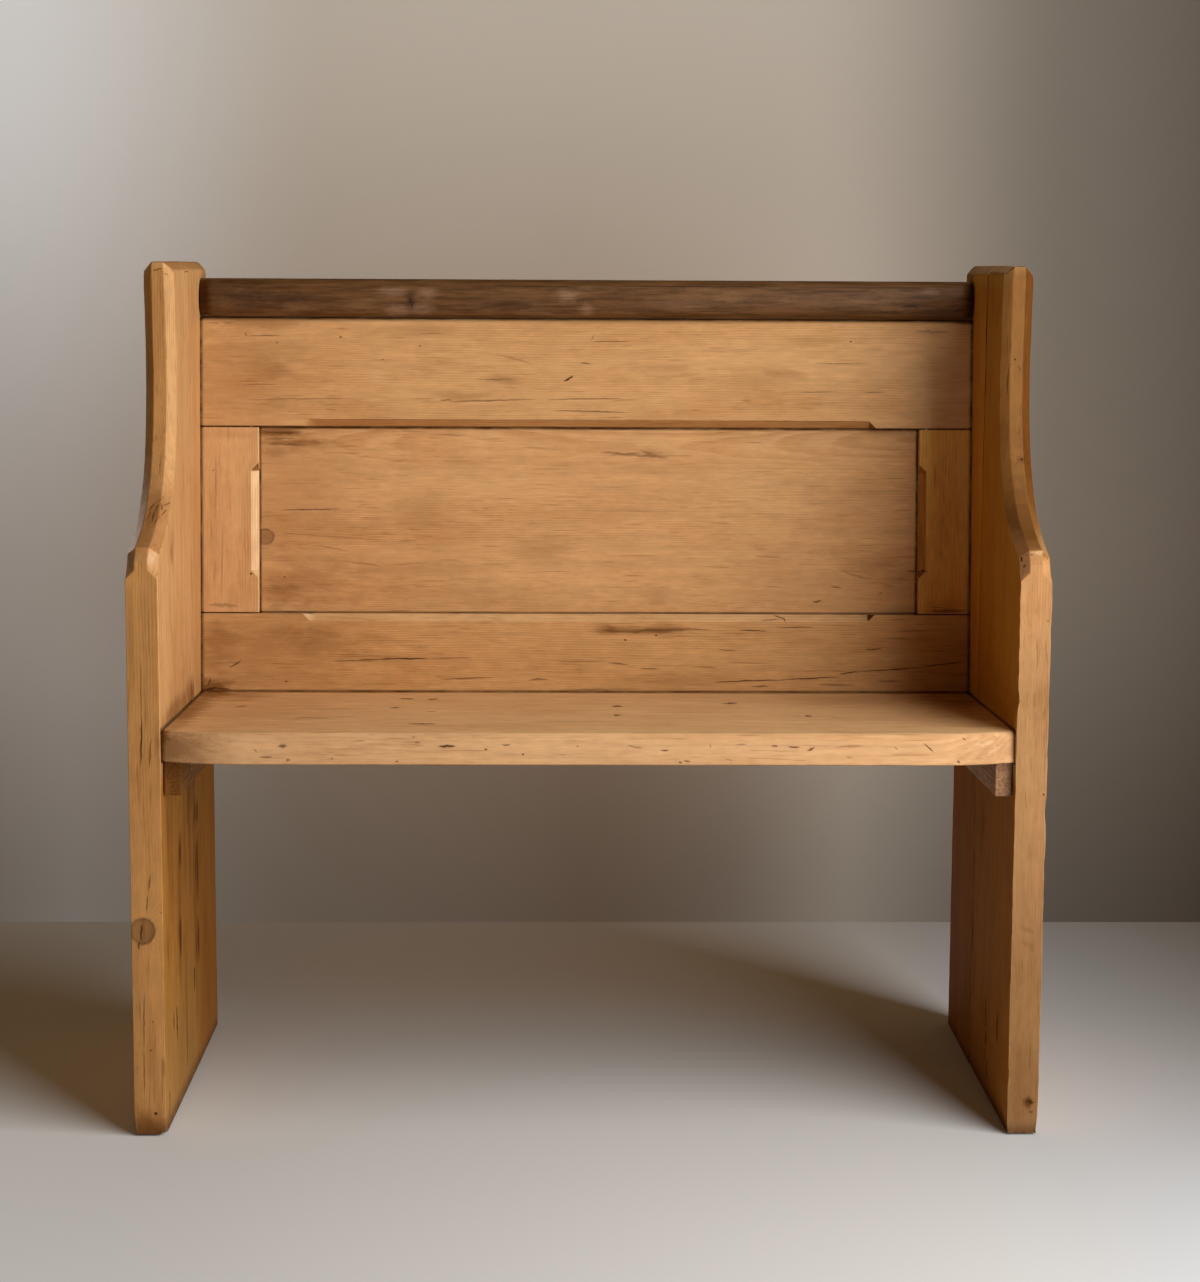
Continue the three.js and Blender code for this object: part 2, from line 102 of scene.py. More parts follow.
class Value:
    """A socket in a material. Sums on it add Math nodes."""

    def __init__(self, paint, socket):
        self.paint = paint
        self.socket = socket

    def math(self, operation, *terms, clamp=False):
        settings = {"operation": operation, "use_clamp": clamp}
        return self.paint.node("ShaderNodeMath", settings, dict(enumerate(terms)))

    def __add__(self, other):
        return self.math("ADD", self, other)

    def __sub__(self, other):
        return self.math("SUBTRACT", self, other)

    def __mul__(self, other):
        return self.math("MULTIPLY", self, other)

    def __truediv__(self, other):
        return self.math("DIVIDE", self, other)

    def __pow__(self, other):
        return self.math("POWER", self, other)

    def __rsub__(self, other):
        return self.math("SUBTRACT", other, self)

    def __rtruediv__(self, other):
        return self.math("DIVIDE", other, self)

    def size(self):
        return self.math("ABSOLUTE", self)

    def most(self, other):
        return self.math("MAXIMUM", self, other)

    def held(self):
        return self.math("ADD", self, 0.0, clamp=True)

    __radd__ = __add__
    __rmul__ = __mul__


class Paint:
    """A material, or the light of the room, under construction."""

    def __init__(self, owner):
        owner.use_nodes = True
        self.owner = owner
        self.tree = owner.node_tree
        self.tree.nodes.clear()
        self.bench_place = None
        self.wood, self.grain, self.shift = None, X, (0, 0, 0)

    def node(self, kind, settings, inputs, output=0):
        """Adds a node: its settings first, then its inputs, and gives one of its outputs."""
        made = self.tree.nodes.new(kind)
        for name, setting in settings.items():
            setattr(made, name, setting)
        for name, given in inputs.items():
            if isinstance(given, Value):
                self.tree.links.new(given.socket, made.inputs[name])
            else:
                made.inputs[name].default_value = given
        return Value(self, made.outputs[output])

    def place(self):
        """Where a point of the bench is, in metres in the row frame."""
        if self.bench_place is None:
            self.bench_place = self.node("ShaderNodeTexCoord", {}, {}, "Object")
        return self.bench_place

    def turned(self, place, angle, centre):
        settings = {"rotation_type": "X_AXIS"}
        inputs = {"Vector": place, "Center": tuple(centre), "Angle": angle}
        return self.node("ShaderNodeVectorRotate", settings, inputs)

    def vector(self, operation, first, second):
        return self.node("ShaderNodeVectorMath", {"operation": operation}, {0: first, 1: second})

    def dot(self, first, second):
        settings = {"operation": "DOT_PRODUCT"}
        return self.node("ShaderNodeVectorMath", settings, {0: first, 1: second}, "Value")

    def parts(self, place):
        """A place's three numbers: right, back and up."""
        split = self.node("ShaderNodeSeparateXYZ", {}, {0: place}).socket.node
        return [Value(self, socket) for socket in split.outputs]

    def mix(self, first, second, share):
        """Two colours mixed by a share of the second, which the node holds from 0 to 1."""
        inputs = {0: share, 6: opaque(first), 7: opaque(second)}
        return self.node("ShaderNodeMix", {"data_type": "RGBA"}, inputs, 2)

    def shaded(self, colour, strength):
        settings = {"operation": "SCALE"}
        return self.node("ShaderNodeVectorMath", settings, {0: colour, "Scale": strength})

    def noise(self, place, stretch, detail=2.0, roughness=0.5, shift=(0, 0, 0)):
        """Soft noise from 0 to 1. Stretch is how many times a metre it changes, each way."""
        moved = self.vector("ADD", place, shift)
        scaled = self.vector("MULTIPLY", moved, stretch)
        inputs = {"Vector": scaled, "Scale": 1.0, "Detail": detail, "Roughness": roughness}
        return self.node("ShaderNodeTexNoise", {}, inputs)

    def lay_grain(self, grain, shift, turn=None):
        """Says which way the grain runs and where its noise starts, and gives the place."""
        self.grain, self.shift = GRAIN_AXES[grain], shift
        self.wood = self.turned(self.place(), *turn) if turn else self.place()
        return self.wood

    def grained(self, along, across, detail, roughness):
        """Noise that changes so many times a metre along the grain, and across it."""
        stretch = tuple(along if axis == self.grain else across for axis in (X, Y, Z))
        return self.noise(self.wood, stretch, detail, roughness, self.shift)

    def facing(self, way):
        """1 where the surface looks one way, and -1 where it looks the other way."""
        return self.dot(self.node("ShaderNodeTexCoord", {}, {}, "Normal"), way)

    def on_face(self, way):
        """1 on the faces that look one way, and 0 on the sides and the far face."""
        return self.fade(self.facing(way), 0.2, 0.6)

    def fade(self, value, start, end):
        """0 up to start, 1 from end on, and smooth between."""
        settings = {"interpolation_type": "SMOOTHSTEP"}
        inputs = {"Value": value, "From Min": start, "From Max": end}
        return self.node("ShaderNodeMapRange", settings, inputs)

    def line(self, value, at, width):
        """1 where value is at a place, fading to 0 over a width on both sides."""
        return 1 - self.fade((value - at).size(), 0.0, width)

    def stored(self, name):
        """A number that the boards' meshes carry."""
        return self.node("ShaderNodeAttribute", {"attribute_name": name}, {}, "Fac")

    def finish(self, colour, roughness, height, strength, depth, specular=0.5, metallic=0.0):
        """Gives the material its surface. A bump is as deep as depth, in metres."""
        bump = {"Strength": strength, "Distance": depth, "Height": height}
        inputs = {"Base Color": colour, "Roughness": roughness, "Metallic": metallic,
                  "Specular IOR Level": specular, "Normal": self.node("ShaderNodeBump", {}, bump)}
        self.end(self.node("ShaderNodeBsdfPrincipled", {}, inputs))
        return self.owner

    def end(self, surface):
        out = self.tree.nodes.new("ShaderNodeOutputMaterial")
        self.tree.links.new(surface.socket, out.inputs["Surface"])


def opaque(colour):
    return colour if isinstance(colour, Value) else (*colour, 1.0)


# dark dirt in the joints, with painted shade in the corners between parts
DIRT_AND_SHADE = (0.085, 0.028, 0.004)
CRACK = (0.060, 0.018, 0.003)
# pale rubbed wood; also the painted light of the pale patches and the painted highlight along the
# edges
PALE_WEAR_AND_LIGHT = (0.75, 0.50, 0.29)
KNOT_RIM = (0.14, 0.070, 0.035)
GRAIN_AXES = {"across": X, "deep": Y, "up": Z}
STRETCHED = 0.88  # of a knot's own size along the grain
FIBRE, MOTTLE = 0.34, 0.30  # how much each shades a board
EVERYWHERE = (-20, -10)  # levels under the floor: all of the bench is above them


def chamfer(right, up):
    """The way a stopped chamfer looks: forwards, and to a side, up or down."""
    share = 0.58 if right and up else 0.7
    return (right * share, -share, up * share)


def painted_facing_light(way, shares, least=0.8):
    """Painted light and shade on the faces that look one way, at every level of the bench."""
    return (way, least, *EVERYWHERE, shares)


def shades(tone, red, green, blue):
    return (tone[0] * red, tone[1] * green, tone[2] * blue)


def knot_pull(paint, coords, ragged, knots):
    """How far the grain is pushed aside round the knots, and their hearts and rims."""
    push, heart, rim = 0.0, 0.0, 0.0
    for across, up, radius in knots:
        aside = (coords[X] - across * MM) * (STRETCHED if paint.grain == X else 1.0)
        over = (coords[Z] - up * MM) * (STRETCHED if paint.grain == Z else 1.0)
        size = radius * MM
        reach = (aside * aside + over * over) ** 0.5 + (ragged - 0.5) * (size * 0.5)
        near = 1 - paint.fade(reach, size * 0.5, size * 4.5)
        push = near * near * (size * 1.6) + push
        heart = (1 - paint.fade(reach, size * 0.8, size * 1.1)) + heart
        rim = paint.line(reach, size, size * 0.24) + rim
    if knots:
        front = paint.on_face(FORWARDS)
        push, heart, rim = push * front, heart * front, rim * front
    return push, heart, rim


def stain_and_shade_share(paint, coords, ragged, stains_and_shade):
    """How dark and how pale the stains and the ovals of painted shade and light make a point. Each
    is an oval with a ragged rim.
    """
    dark, pale = 0.0, 0.0
    looking = {}
    for first, at, wide, second, level, high, strength, way in stains_and_shade:
        if way not in looking:
            looking[way] = paint.on_face(way)
        aside = (coords[first] - at * MM) / (wide * MM)
        over = (coords[second] - level * MM) / (high * MM)
        reach = (aside * aside + over * over) ** 0.5 + (ragged - 0.5) * 1.7
        share = (1 - paint.fade(reach, 0.1, 1.35)) * abs(strength) * looking[way]
        if strength > 0:
            dark = share + dark
        else:
            pale = share + pale
    return dark, pale


def rings(paint, coords, pith, spacing, push):
    """The late wood of each year's ring, from 0 to 1, seen only here and there."""
    one, other = (coords[axis] for axis in (X, Y, Z) if axis != paint.grain)
    sway = paint.grained(1.4, 6.0, 1.0, 0.5) - 0.5
    waver = paint.grained(7.0, 34.0, 2.0, 0.6) - 0.5
    first = one - pith[0] + sway * 0.05 + push
    second = other - pith[1] + sway * 0.03
    reach = (first * first + second * second) ** 0.5
    year = (reach + waver * 0.004) / (spacing * MM)
    turns = year.math("FRACT", year)
    late = paint.fade(turns, 0.15, 0.88) * (1 - paint.fade(turns, 0.9, 1.0))
    season = paint.grained(1.1, 24.0, 1.0, 0.6)
    return late * (paint.fade(season, 0.36, 0.68) * 0.9 + 0.1)


def along_axis(axis):
    return tuple(1.0 if part == axis else 0.0 for part in (X, Y, Z))


def end_grain(paint):
    """1 where a board is cut across its grain."""
    return paint.fade(paint.facing(along_axis(paint.grain)).size(), 0.3, 0.85)


def paint_facing_light(paint, colour, coords, facing_light_and_shade):
    """Paints light and shade on the faces that look one way, from start to end: lighter or darker
    copies of the colour, for how the light falls on those faces.
    """
    for way, least, start, end, shares in facing_light_and_shade:
        looking = paint.fade(paint.facing(way), least, least + 0.2)
        there = paint.fade(coords[Z], min(start, end) * MM, max(start, end) * MM)
        there = there if end > start else 1 - there
        colour = paint.mix(colour, paint.vector("MULTIPLY", colour, shares), looking * there)
    return colour


def pine(name, tone, grain, pith, seed, turn=None, knots=(), stains_and_shade=(), dirt_and_shade_lines=(), facing_light_and_shade=(),
         spacing=2.9, contrast=0.30, blotch=0.26, streaks=0.30, gloss=0.47):
    """Old pine: faint rings and fibre, blotches of old oil, stains with painted shade and light,
    dirt with painted shade by the joints, and painted light and shade by the way each face looks.
    """
    paint = Paint(bpy.data.materials.new(name))
    place = paint.lay_grain(grain, (seed * 1.7, seed * 2.3, seed * 3.1), turn)
    coords = paint.parts(place)
    ragged = paint.grained(26.0, 75.0, 3.0, 0.65)
    push, heart, rim = knot_pull(paint, coords, ragged, knots)
    late = rings(paint, coords, pith, spacing, push)
    fibre = paint.grained(30.0, 620.0, 2.0, 0.65)
    streak = paint.grained(5.0, 110.0, 3.0, 0.62)
    patches = paint.grained(7.0, 24.0, 4.0, 0.66)
    mottle = paint.grained(55.0, 150.0, 2.0, 0.6)
    cloud = paint.noise(place, (7.0, 11.0, 11.0), 3.0, 0.55, paint.shift)
    fleck = paint.grained(18.0, 420.0, 1.0, 0.5)

    oiled = shades(tone, 0.70, 0.53, 0.36)
    share = late * contrast + paint.fade(patches, 0.45, 0.78) * blotch
    share = share + paint.fade(cloud, 0.36, 0.68) * 0.16 + 0.05
    colour = paint.mix(shades(tone, 1.11, 1.14, 1.18), oiled, share)
    tooth = fibre * FIBRE + streak * streaks + mottle * MOTTLE
    colour = paint.shaded(colour, tooth + (1 - (FIBRE + streaks + MOTTLE) / 2))
    flecks = paint.fade(fleck, 0.64, 0.76) * 0.5
    dash = paint.grained(36.0, 560.0, 2.0, 0.55)
    dashes = paint.fade(dash, 0.58, 0.70) * paint.fade(patches, 0.46, 0.66) * 0.45
    colour = paint.mix(colour, shades(tone, 0.46, 0.36, 0.24), flecks.most(dashes))
    colour = paint.mix(colour, shades(tone, 0.58, 0.46, 0.33), end_grain(paint) * 0.6)
    if knots:
        worn = streak * 1.4
        colour = paint.mix(colour, shades(tone, 0.44, 0.40, 0.40), heart * worn)
        colour = paint.mix(colour, KNOT_RIM, rim * worn)
    if stains_and_shade:
        dark, pale = stain_and_shade_share(paint, coords, ragged, stains_and_shade)
        if isinstance(dark, Value):
            # darker stains, and painted shade where an oval stands for it
            colour = paint.mix(colour, shades(tone, 0.42, 0.31, 0.20), dark)
        if isinstance(pale, Value):
            # paler patches, and painted light where an oval stands for it
            colour = paint.mix(colour, PALE_WEAR_AND_LIGHT, pale)
    # painted light and shade by the way each face looks
    colour = paint_facing_light(paint, colour, coords, facing_light_and_shade)

    # pale wear along the edges, which also paints their highlight
    worn_and_highlit_edges = paint.fade(mottle, 0.40, 0.62) * 0.5
    colour = paint.mix(colour, PALE_WEAR_AND_LIGHT, arris(paint) * worn_and_highlit_edges)
    # dark dirt in the joints, with painted shade in the corners and under the cap rail: darker
    # lines at the given places
    dirt_and_shade = 0.0
    for axis, at, width, strength in dirt_and_shade_lines:
        line = paint.line(coords[axis], at * MM, width * MM) * strength
        dirt_and_shade = line * (ragged * 1.5 + 0.25) + dirt_and_shade
    if dirt_and_shade_lines:
        colour = paint.mix(colour, DIRT_AND_SHADE, dirt_and_shade)
    mark = paint.stored("mark")
    colour = paint.mix(colour, CRACK, mark * 1.5)
    colour = paint.mix(colour, PALE_WEAR_AND_LIGHT, paint.stored("rub"))

    rough = fibre * 0.16 + patches * 0.14 + (gloss - 0.07) + mark * 0.2
    height = fibre * 0.5 + streak * 0.4 - mark * 2.0
    return paint.finish(colour, rough.held(), height, strength=0.25, depth=0.0006, specular=0.1)


def arris(paint):
    """1 on the sharp edges of a board, and 0 on its flat faces."""
    rounded = paint.node("ShaderNodeBevel", {"samples": 4}, {"Radius": 0.0022})
    flat = paint.node("ShaderNodeNewGeometry", {}, {}, "Normal")
    return paint.fade(1 - paint.dot(rounded, flat), 0.02, 0.16)


CAP_DARK, CAP_BROWN = (0.064, 0.025, 0.005), (0.168, 0.074, 0.025)
CAP_THIN, CAP_BARE, CAP_EDGE_WEAR_AND_HIGHLIGHT = (0.250, 0.138, 0.060), (0.33, 0.185, 0.115), (0.27, 0.14, 0.07)
CAP_SOILED, CAP_SHAKE, CAP_DENT = (0.022, 0.008, 0.003), (0.02, 0.008, 0.004), (0.012, 0.005, 0.003)


def cap_wood(name, seed, stains_and_shade):
    """Dark stained wood under old polish: streaks, pinkish worn patches and shakes."""
    paint = Paint(bpy.data.materials.new(name))
    place = paint.lay_grain("across", (seed, seed * 1.9, seed * 0.7))
    coords = paint.parts(place)
    streak = paint.grained(14.0, 170.0, 6.0, 0.72)
    fibre = paint.grained(60.0, 700.0, 3.0, 0.6)
    patch = paint.grained(16.0, 60.0, 5.0, 0.68)
    crack = paint.grained(9.0, 330.0, 2.0, 0.5)
    ragged = paint.grained(70.0, 130.0, 4.0, 0.65)
    dark, pale = stain_and_shade_share(paint, coords, ragged, stains_and_shade)
    colour = paint.mix(CAP_DARK, CAP_BROWN, paint.fade(streak, 0.28, 0.72))
    colour = paint.mix(colour, CAP_THIN, paint.fade(patch, 0.50, 0.74) * 0.5)
    colour = paint.mix(colour, CAP_BARE, pale * (streak * 1.6 - 0.1))
    colour = paint.mix(colour, CAP_SOILED, dark)
    colour = paint.mix(colour, CAP_SHAKE, paint.fade(crack, 0.66, 0.78) * 0.7)
    colour = paint.shaded(colour, fibre * 0.4 + 0.8)
    worn = paint.grained(30.0, 60.0, 3.0, 0.6)
    # pale wear along the edges, which also paints their highlight
    colour = paint.mix(colour, CAP_EDGE_WEAR_AND_HIGHLIGHT, arris(paint) * paint.fade(worn, 0.4, 0.7) * 0.35)
    mark = paint.stored("mark")
    colour = paint.mix(colour, CAP_DENT, mark)
    height = streak * 0.6 + fibre * 0.4 - mark * 2.0
    rough = streak * 0.18 + patch * 0.2 + 0.32
    return paint.finish(colour, rough, height, strength=0.3, depth=0.0007, specular=0.22)


def sawn_pine(name, tone, grain, seed, turn=None):
    """Rough sawn pine with dust on it: fibre, and the saw's marks across it."""
    paint = Paint(bpy.data.materials.new(name))
    paint.lay_grain(grain, (seed, seed * 1.3, seed * 2.9), turn)
    fibre = paint.grained(16.0, 420.0, 4.0, 0.65)
    dust = paint.grained(20.0, 45.0, 4.0, 0.6)
    saw = paint.grained(240.0, 9.0, 1.0, 0.5)
    dark = tuple(part * 0.45 for part in tone)
    colour = paint.mix(dark, tone, paint.fade(fibre, 0.28, 0.68))
    colour = paint.mix(colour, shades(tone, 1.7, 1.8, 1.9), paint.fade(dust, 0.5, 0.78) * 0.4)
    colour = paint.mix(colour, CRACK, paint.stored("mark"))
    rough, height = dust * 0.2 + 0.72, fibre * 0.7 + saw * 0.6
    return paint.finish(colour, rough, height, strength=0.5, depth=0.0009, specular=0.08)


def aged_metal(name, bright, dull, roughness, seed):
    """Screw or nail metal: bright where rubbed, with brown bloom in patches."""
    paint = Paint(bpy.data.materials.new(name))
    place = paint.place()
    shift = (seed, seed, seed)
    bloom = paint.noise(place, (420.0, 420.0, 420.0), 4.0, 0.6, shift)
    brushed = paint.noise(place, (2600.0, 300.0, 2600.0), 2.0, 0.5, shift)
    rust = paint.fade(bloom, 0.45, 0.7)
    colour = paint.mix(bright, dull, rust)
    colour = paint.shaded(colour, brushed * 0.3 + 0.85)
    rough, height = rust * 0.3 + brushed * 0.12 + roughness, bloom * 0.6 + brushed * 0.4
    bright_metal = 1 - rust * 0.5
    return paint.finish(colour, rough, height, strength=0.3, depth=0.0003, metallic=bright_metal)


# ---------------------------------------------------------------- worn boards

FLAT = math.radians(0.5)  # faces that turn less than this are one flat face
SHARP = math.radians(24)  # edges that turn more than this are rounded
CREASE = math.radians(50)  # edges that turn more than this are shaded as two faces
SMALLEST_ARRIS = 4 * MM
ROUNDED = 1  # the mark of the faces that round an arris, while a board is made
AHEAD, SEARCH = 40, 0.24  # a mark is sought from 40 mm before its face, and 0.24 m deep


def make_faces_whole(bm):
    bmesh.ops.dissolve_limit(bm, angle_limit=FLAT, verts=bm.verts, edges=bm.edges)


def board_mesh(node):
    """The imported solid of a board, with its flat faces whole."""
    bm = bmesh.new()
    bm.from_mesh(frame["nodes"][node].data)
    bmesh.ops.remove_doubles(bm, verts=bm.verts, dist=1e-5)
    make_faces_whole(bm)
    return bm


def cut_flat(bm, point, out, take_off=False):
    """Cuts a board's faces along one plane, and may take off what is in front of it."""
    parts = [*bm.verts, *bm.edges, *bm.faces]
    return bmesh.ops.bisect_plane(
        bm, geom=parts, dist=1e-6, plane_co=point, plane_no=Vector(out), clear_outer=take_off
    )


def close_housing(bm):
    """Stops the seat's housing short of the end's front edge, in front of the curved corner."""
    stop, low, high, play = 5.2, 400, 470, 0.05
    stop_line = bench(0, stop, 0).y
    cut_flat(bm, bench(0, stop, 0), (0, 1, 0))

    def in_front(face):
        """Whether a face is one of the housing's, in front of where it stops."""
        middle = face.calc_center_median()
        deep_enough = INNER + play < abs(middle.x) / MM < HOUSED + play
        return (deep_enough and low < middle.z / MM < high
                and abs(face.normal.y) < 0.5 and middle.y < stop_line)
    slot = [face for face in bm.faces if in_front(face)]
    bmesh.ops.delete(bm, geom=slot, context="FACES_ONLY")

    def corners(right, far):
        """The slot's lower and upper corner at one place."""
        line = bench(0, far, 0).y
        found = [vert for vert in bm.verts
                 if abs(abs(vert.co.x) - right * MM) < play * MM
                 and abs(vert.co.y - line) < play * MM and low < vert.co.z / MM < high]
        assert len(found) == 2, (right, far, len(found))
        return sorted(found, key=lambda vert: vert.co.z)
    mouth, stopped = corners(INNER, 0), corners(INNER, stop)
    sides = [(mouth, stopped), (mouth, corners(HOUSED, 0)), (stopped, corners(HOUSED, stop))]
    for first, second in sides:
        bm.faces.new((first[0], second[0], second[1], first[1]))
    bmesh.ops.recalc_face_normals(bm, faces=bm.faces)
    make_faces_whole(bm)


def knock_off(bm, point, out):
    """Takes a corner off a board with one flat cut."""
    cut = cut_flat(bm, point, out, take_off=True)
    rim = [part for part in cut["geom_cut"] if isinstance(part, bmesh.types.BMEdge)]
    bmesh.ops.holes_fill(bm, edges=rim, sides=0)


def round_arrises(bm, radius, chosen=None):
    """Rounds the long outer edges of a board, and marks the new faces."""
    sharp = [
        edge for edge in bm.edges
        if edge.is_manifold and edge.is_convex
        and edge.calc_face_angle() > SHARP
        and edge.calc_length() > SMALLEST_ARRIS
        and (chosen is None or chosen(edge))
    ]
    made = bmesh.ops.bevel(
        bm, geom=sharp, offset=radius * MM, offset_type="OFFSET", segments=2, profile=0.5,
        affect="EDGES", clamp_overlap=False,
    )
    for face in made["faces"]:
        face.material_index = ROUNDED


def slice_along(bm, grain, every):
    """Cuts a board's faces across its grain, so that its arrises can waver."""
    axis = GRAIN_AXES[grain]
    low = min(vert.co[axis] for vert in bm.verts)
    high = max(vert.co[axis] for vert in bm.verts)
    count = max(int((high - low) / (every * MM)), 1)
    normal = Vector(along_axis(axis))
    for step in range(1, count):
        cut_flat(bm, normal * (low + (high - low) * step / count), normal)


def waver_arrises(bm, amount, seed, knocks):
    """Moves the rounded arrises inwards by soft noise, and deeper at the knocks."""
    moves = []
    for vert in bm.verts:
        strips = [face for face in vert.link_faces if face.material_index == ROUNDED]
        if not strips:
            continue
        out = sum((face.normal for face in strips), Vector()).normalized()
        soft = noise.noise(vert.co * 21.0 + Vector((seed, 0, 0))) * 0.5 + 0.5
        fine = noise.noise(vert.co * 75.0 + Vector((0, seed, 0))) * 0.5 + 0.5
        depth = amount * (0.7 * soft + 0.5 * fine * fine)
        for centre, radius, deep in knocks:
            near = max(0.0, 1 - (vert.co - centre).length / (radius * MM))
            depth += deep * near * near * (3 - 2 * near)
        moves.append((vert, out * (-depth * MM)))
    for vert, move in moves:
        vert.co += move
    for face in bm.faces:
        face.material_index = 0


def lens_of_mark(bm, layers, surface, face, mark, dice):
    """One dent, shake or stain: a thin lens that lies on the board and shades it.

    A mark that runs off its board is left out.
    """
    right, up, half, wide, turn, strength = mark
    layer = layers["mark"] if strength > 0 else layers["rub"]
    along = Vector((math.cos(math.radians(turn)), math.sin(math.radians(turn))))
    beside = Vector((-along.y, along.x))
    steps = max(4, min(16, int(half / 3) + 3))
    bend = dice.uniform(-0.6, 0.6) * wide
    rows = []
    for step in range(steps + 1):
        share = 2 * step / steps - 1
        body = math.sqrt(max(0.0, 1 - share * share))
        middle = bend * (1 - share * share) + dice.uniform(-0.3, 0.3) * wide * body
        spread = wide * max(0.12, body) * dice.uniform(0.75, 1.3)
        row = []
        for beside_share, lift, amount in ((-1, 0.03, 0), (0, 0.08, 1), (1, 0.03, 0)):
            at = Vector((right, up)) + along * (half * share)
            at += beside * (middle + spread * beside_share)
            start = face.point(at.x, at.y, AHEAD)
            hit, normal, _, _ = surface.ray_cast(start, -face.out, SEARCH)
            if hit is None:
                return
            vert = bm.verts.new(hit + normal * (lift * MM))
            vert[layer] = abs(strength) * amount * (0.45 + 0.55 * body)
            row.append(vert)
        rows.append(row)
    for one, two in zip(rows, rows[1:]):
        for left in (0, 1):
            new = bm.faces.new((one[left], one[left + 1], two[left + 1], two[left]))
            new.smooth = True
            new.normal_update()
            if new.normal.dot(face.out) < 0:
                new.normal_flip()


def add_marks(bm, marks, seed):
    """Lays all of a board's marks on it."""
    layers = {name: bm.verts.layers.float.new(name) for name in ("mark", "rub")}
    surface = BVHTree.FromBMesh(bm)
    dice = random.Random(seed)
    for face, listed in marks:
        for mark in listed:
            lens_of_mark(bm, layers, surface, face, mark, dice)


def clear_loose(bm):
    """Takes away the edges and vertices that no face uses."""
    edges = [edge for edge in bm.edges if not edge.link_faces]
    bmesh.ops.delete(bm, geom=edges, context="EDGES")
    verts = [vert for vert in bm.verts if not vert.link_faces]
    bmesh.ops.delete(bm, geom=verts, context="VERTS")


def finish_board(bm, node, material):
    """Puts a worn board in the place of its solid."""
    clear_loose(bm)
    mesh = bpy.data.meshes.new("worn_" + node)
    bm.normal_update()
    bm.to_mesh(mesh)
    bm.free()
    mesh.materials.append(material)
    for polygon in mesh.polygons:
        polygon.use_smooth = True
    mesh.set_sharp_from_angle(angle=CREASE)
    board = bpy.data.objects.new("worn_" + node, mesh)
    bpy.context.scene.collection.objects.link(board)
    weighted = board.modifiers.new("flat_faces", "WEIGHTED_NORMAL")
    weighted.keep_sharp = True
    weighted.weight = 90
    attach(board, "root")
    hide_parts(node)


def worn_board(node, material, grain, seed, radius=1.1, waver=0.5, every=16,
               marks=(), knocks=(), chips=(), soft=None, mend=None):
    """Wears a board's solid: chips and rounds it, wavers its arrises and lays its marks on it."""
    bm = board_mesh(node)
    if mend:
        mend(bm)
    for point, out in chips:
        knock_off(bm, point, out)
    if soft:
        round_arrises(bm, soft[0], soft[1])
    round_arrises(bm, radius)
    slice_along(bm, grain, every)
    waver_arrises(bm, waver, seed, knocks)
    add_marks(bm, marks, seed)
    finish_board(bm, node, material)


# ---------------------------------------------------------------- the marks of use
# Each mark is (right, up, half its length, half its width, its turn in degrees, its strength),
# in millimetres on its face. A strength below zero is a pale rub.

TOP_RAIL_MARKS = [
    (-23, 379, 7, 1.9, 31, 0.9), (-110, 378, 23, 1.4, 2, 0.35), (-87, 401, 25, 1.8, -15, 0.22),
    (-2, 397, 7, 1.1, -5, 0.6), (28, 423, 25, 1.0, 1, 0.5), (6, 428, 5, 1.0, 60, 0.5),
    (-113, 352, 53, 1.4, 2, 0.5), (-3, 354, 46, 1.1, 1, 0.5), (1, 339, 45, 1.1, -1, 0.6),
    (-170, 352, 8, 1.4, 0, 0.5), (-201, 417, 2, 1.2, -9, 0.6), (-388, 428, 21, 1.1, 1, 0.5),
    (-409, 430, 3, 1.3, -68, 0.6), (-372, 420, 2, 1.2, 0, 0.6), (-296, 427, 2, 1.3, 10, 0.8),
    (-392, 370, 22, 1.0, 0, 0.4), (-342, 353, 64, 1.1, 1, 0.35), (-246, 400, 2, 1.1, 10, 0.6),
    (317, 424, 2, 1.2, 0, 0.8), (304, 398, 30, 0.8, 0, 0.5), (279, 364, 23, 0.8, 1, 0.5),
    (345, 364, 15, 0.8, -1, 0.4), (415, 437, 21, 3.0, -1, 0.3), (-440, 444, 17, 2.4, 0, 0.3),
    (99, 383, 36, 3.0, 3, 0.12), (171, 413, 36, 3.0, 2, 0.12),
    (-230, 328.8, 120, 0.7, 0, 0.45), (20, 328.8, 140, 0.6, 0, 0.35), (250, 328.8, 95, 0.7, 0, 0.5),
]
PANEL_MARKS = [
    (-366, 313, 22, 1.6, 1, 0.4), (-370, 305, 20, 2.0, 2, 0.4), (-362, 298, 26, 1.5, -2, 0.4),
    (-316, 295, 30, 1.2, 1, 0.2), (-333, 220, 36, 1.1, 1, 0.6), (-305, 187, 65, 1.6, -4, 0.25),
    (-307, 173, 21, 1.4, -10, 0.25), (-270, 154, 25, 1.4, -8, 0.25), (-365, 138, 2, 1.4, 0, 0.5),
    (58, 288, 42, 2.7, -4, 0.4), (81, 288, 18, 2.7, -18, 0.35), (46, 288, 18, 1.5, 4, 0.45),
    (-167, 311, 24, 1.4, -1, 0.3), (303, 128, 8, 1.1, -6, 0.6), (280, 111, 6, 1.7, 10, 0.6),
    (326, 143, 18, 1.9, -16, 0.25), (357, 121, 2, 1.5, 0, 0.5), (396, 147, 8, 1.5, -4, 0.5),
]
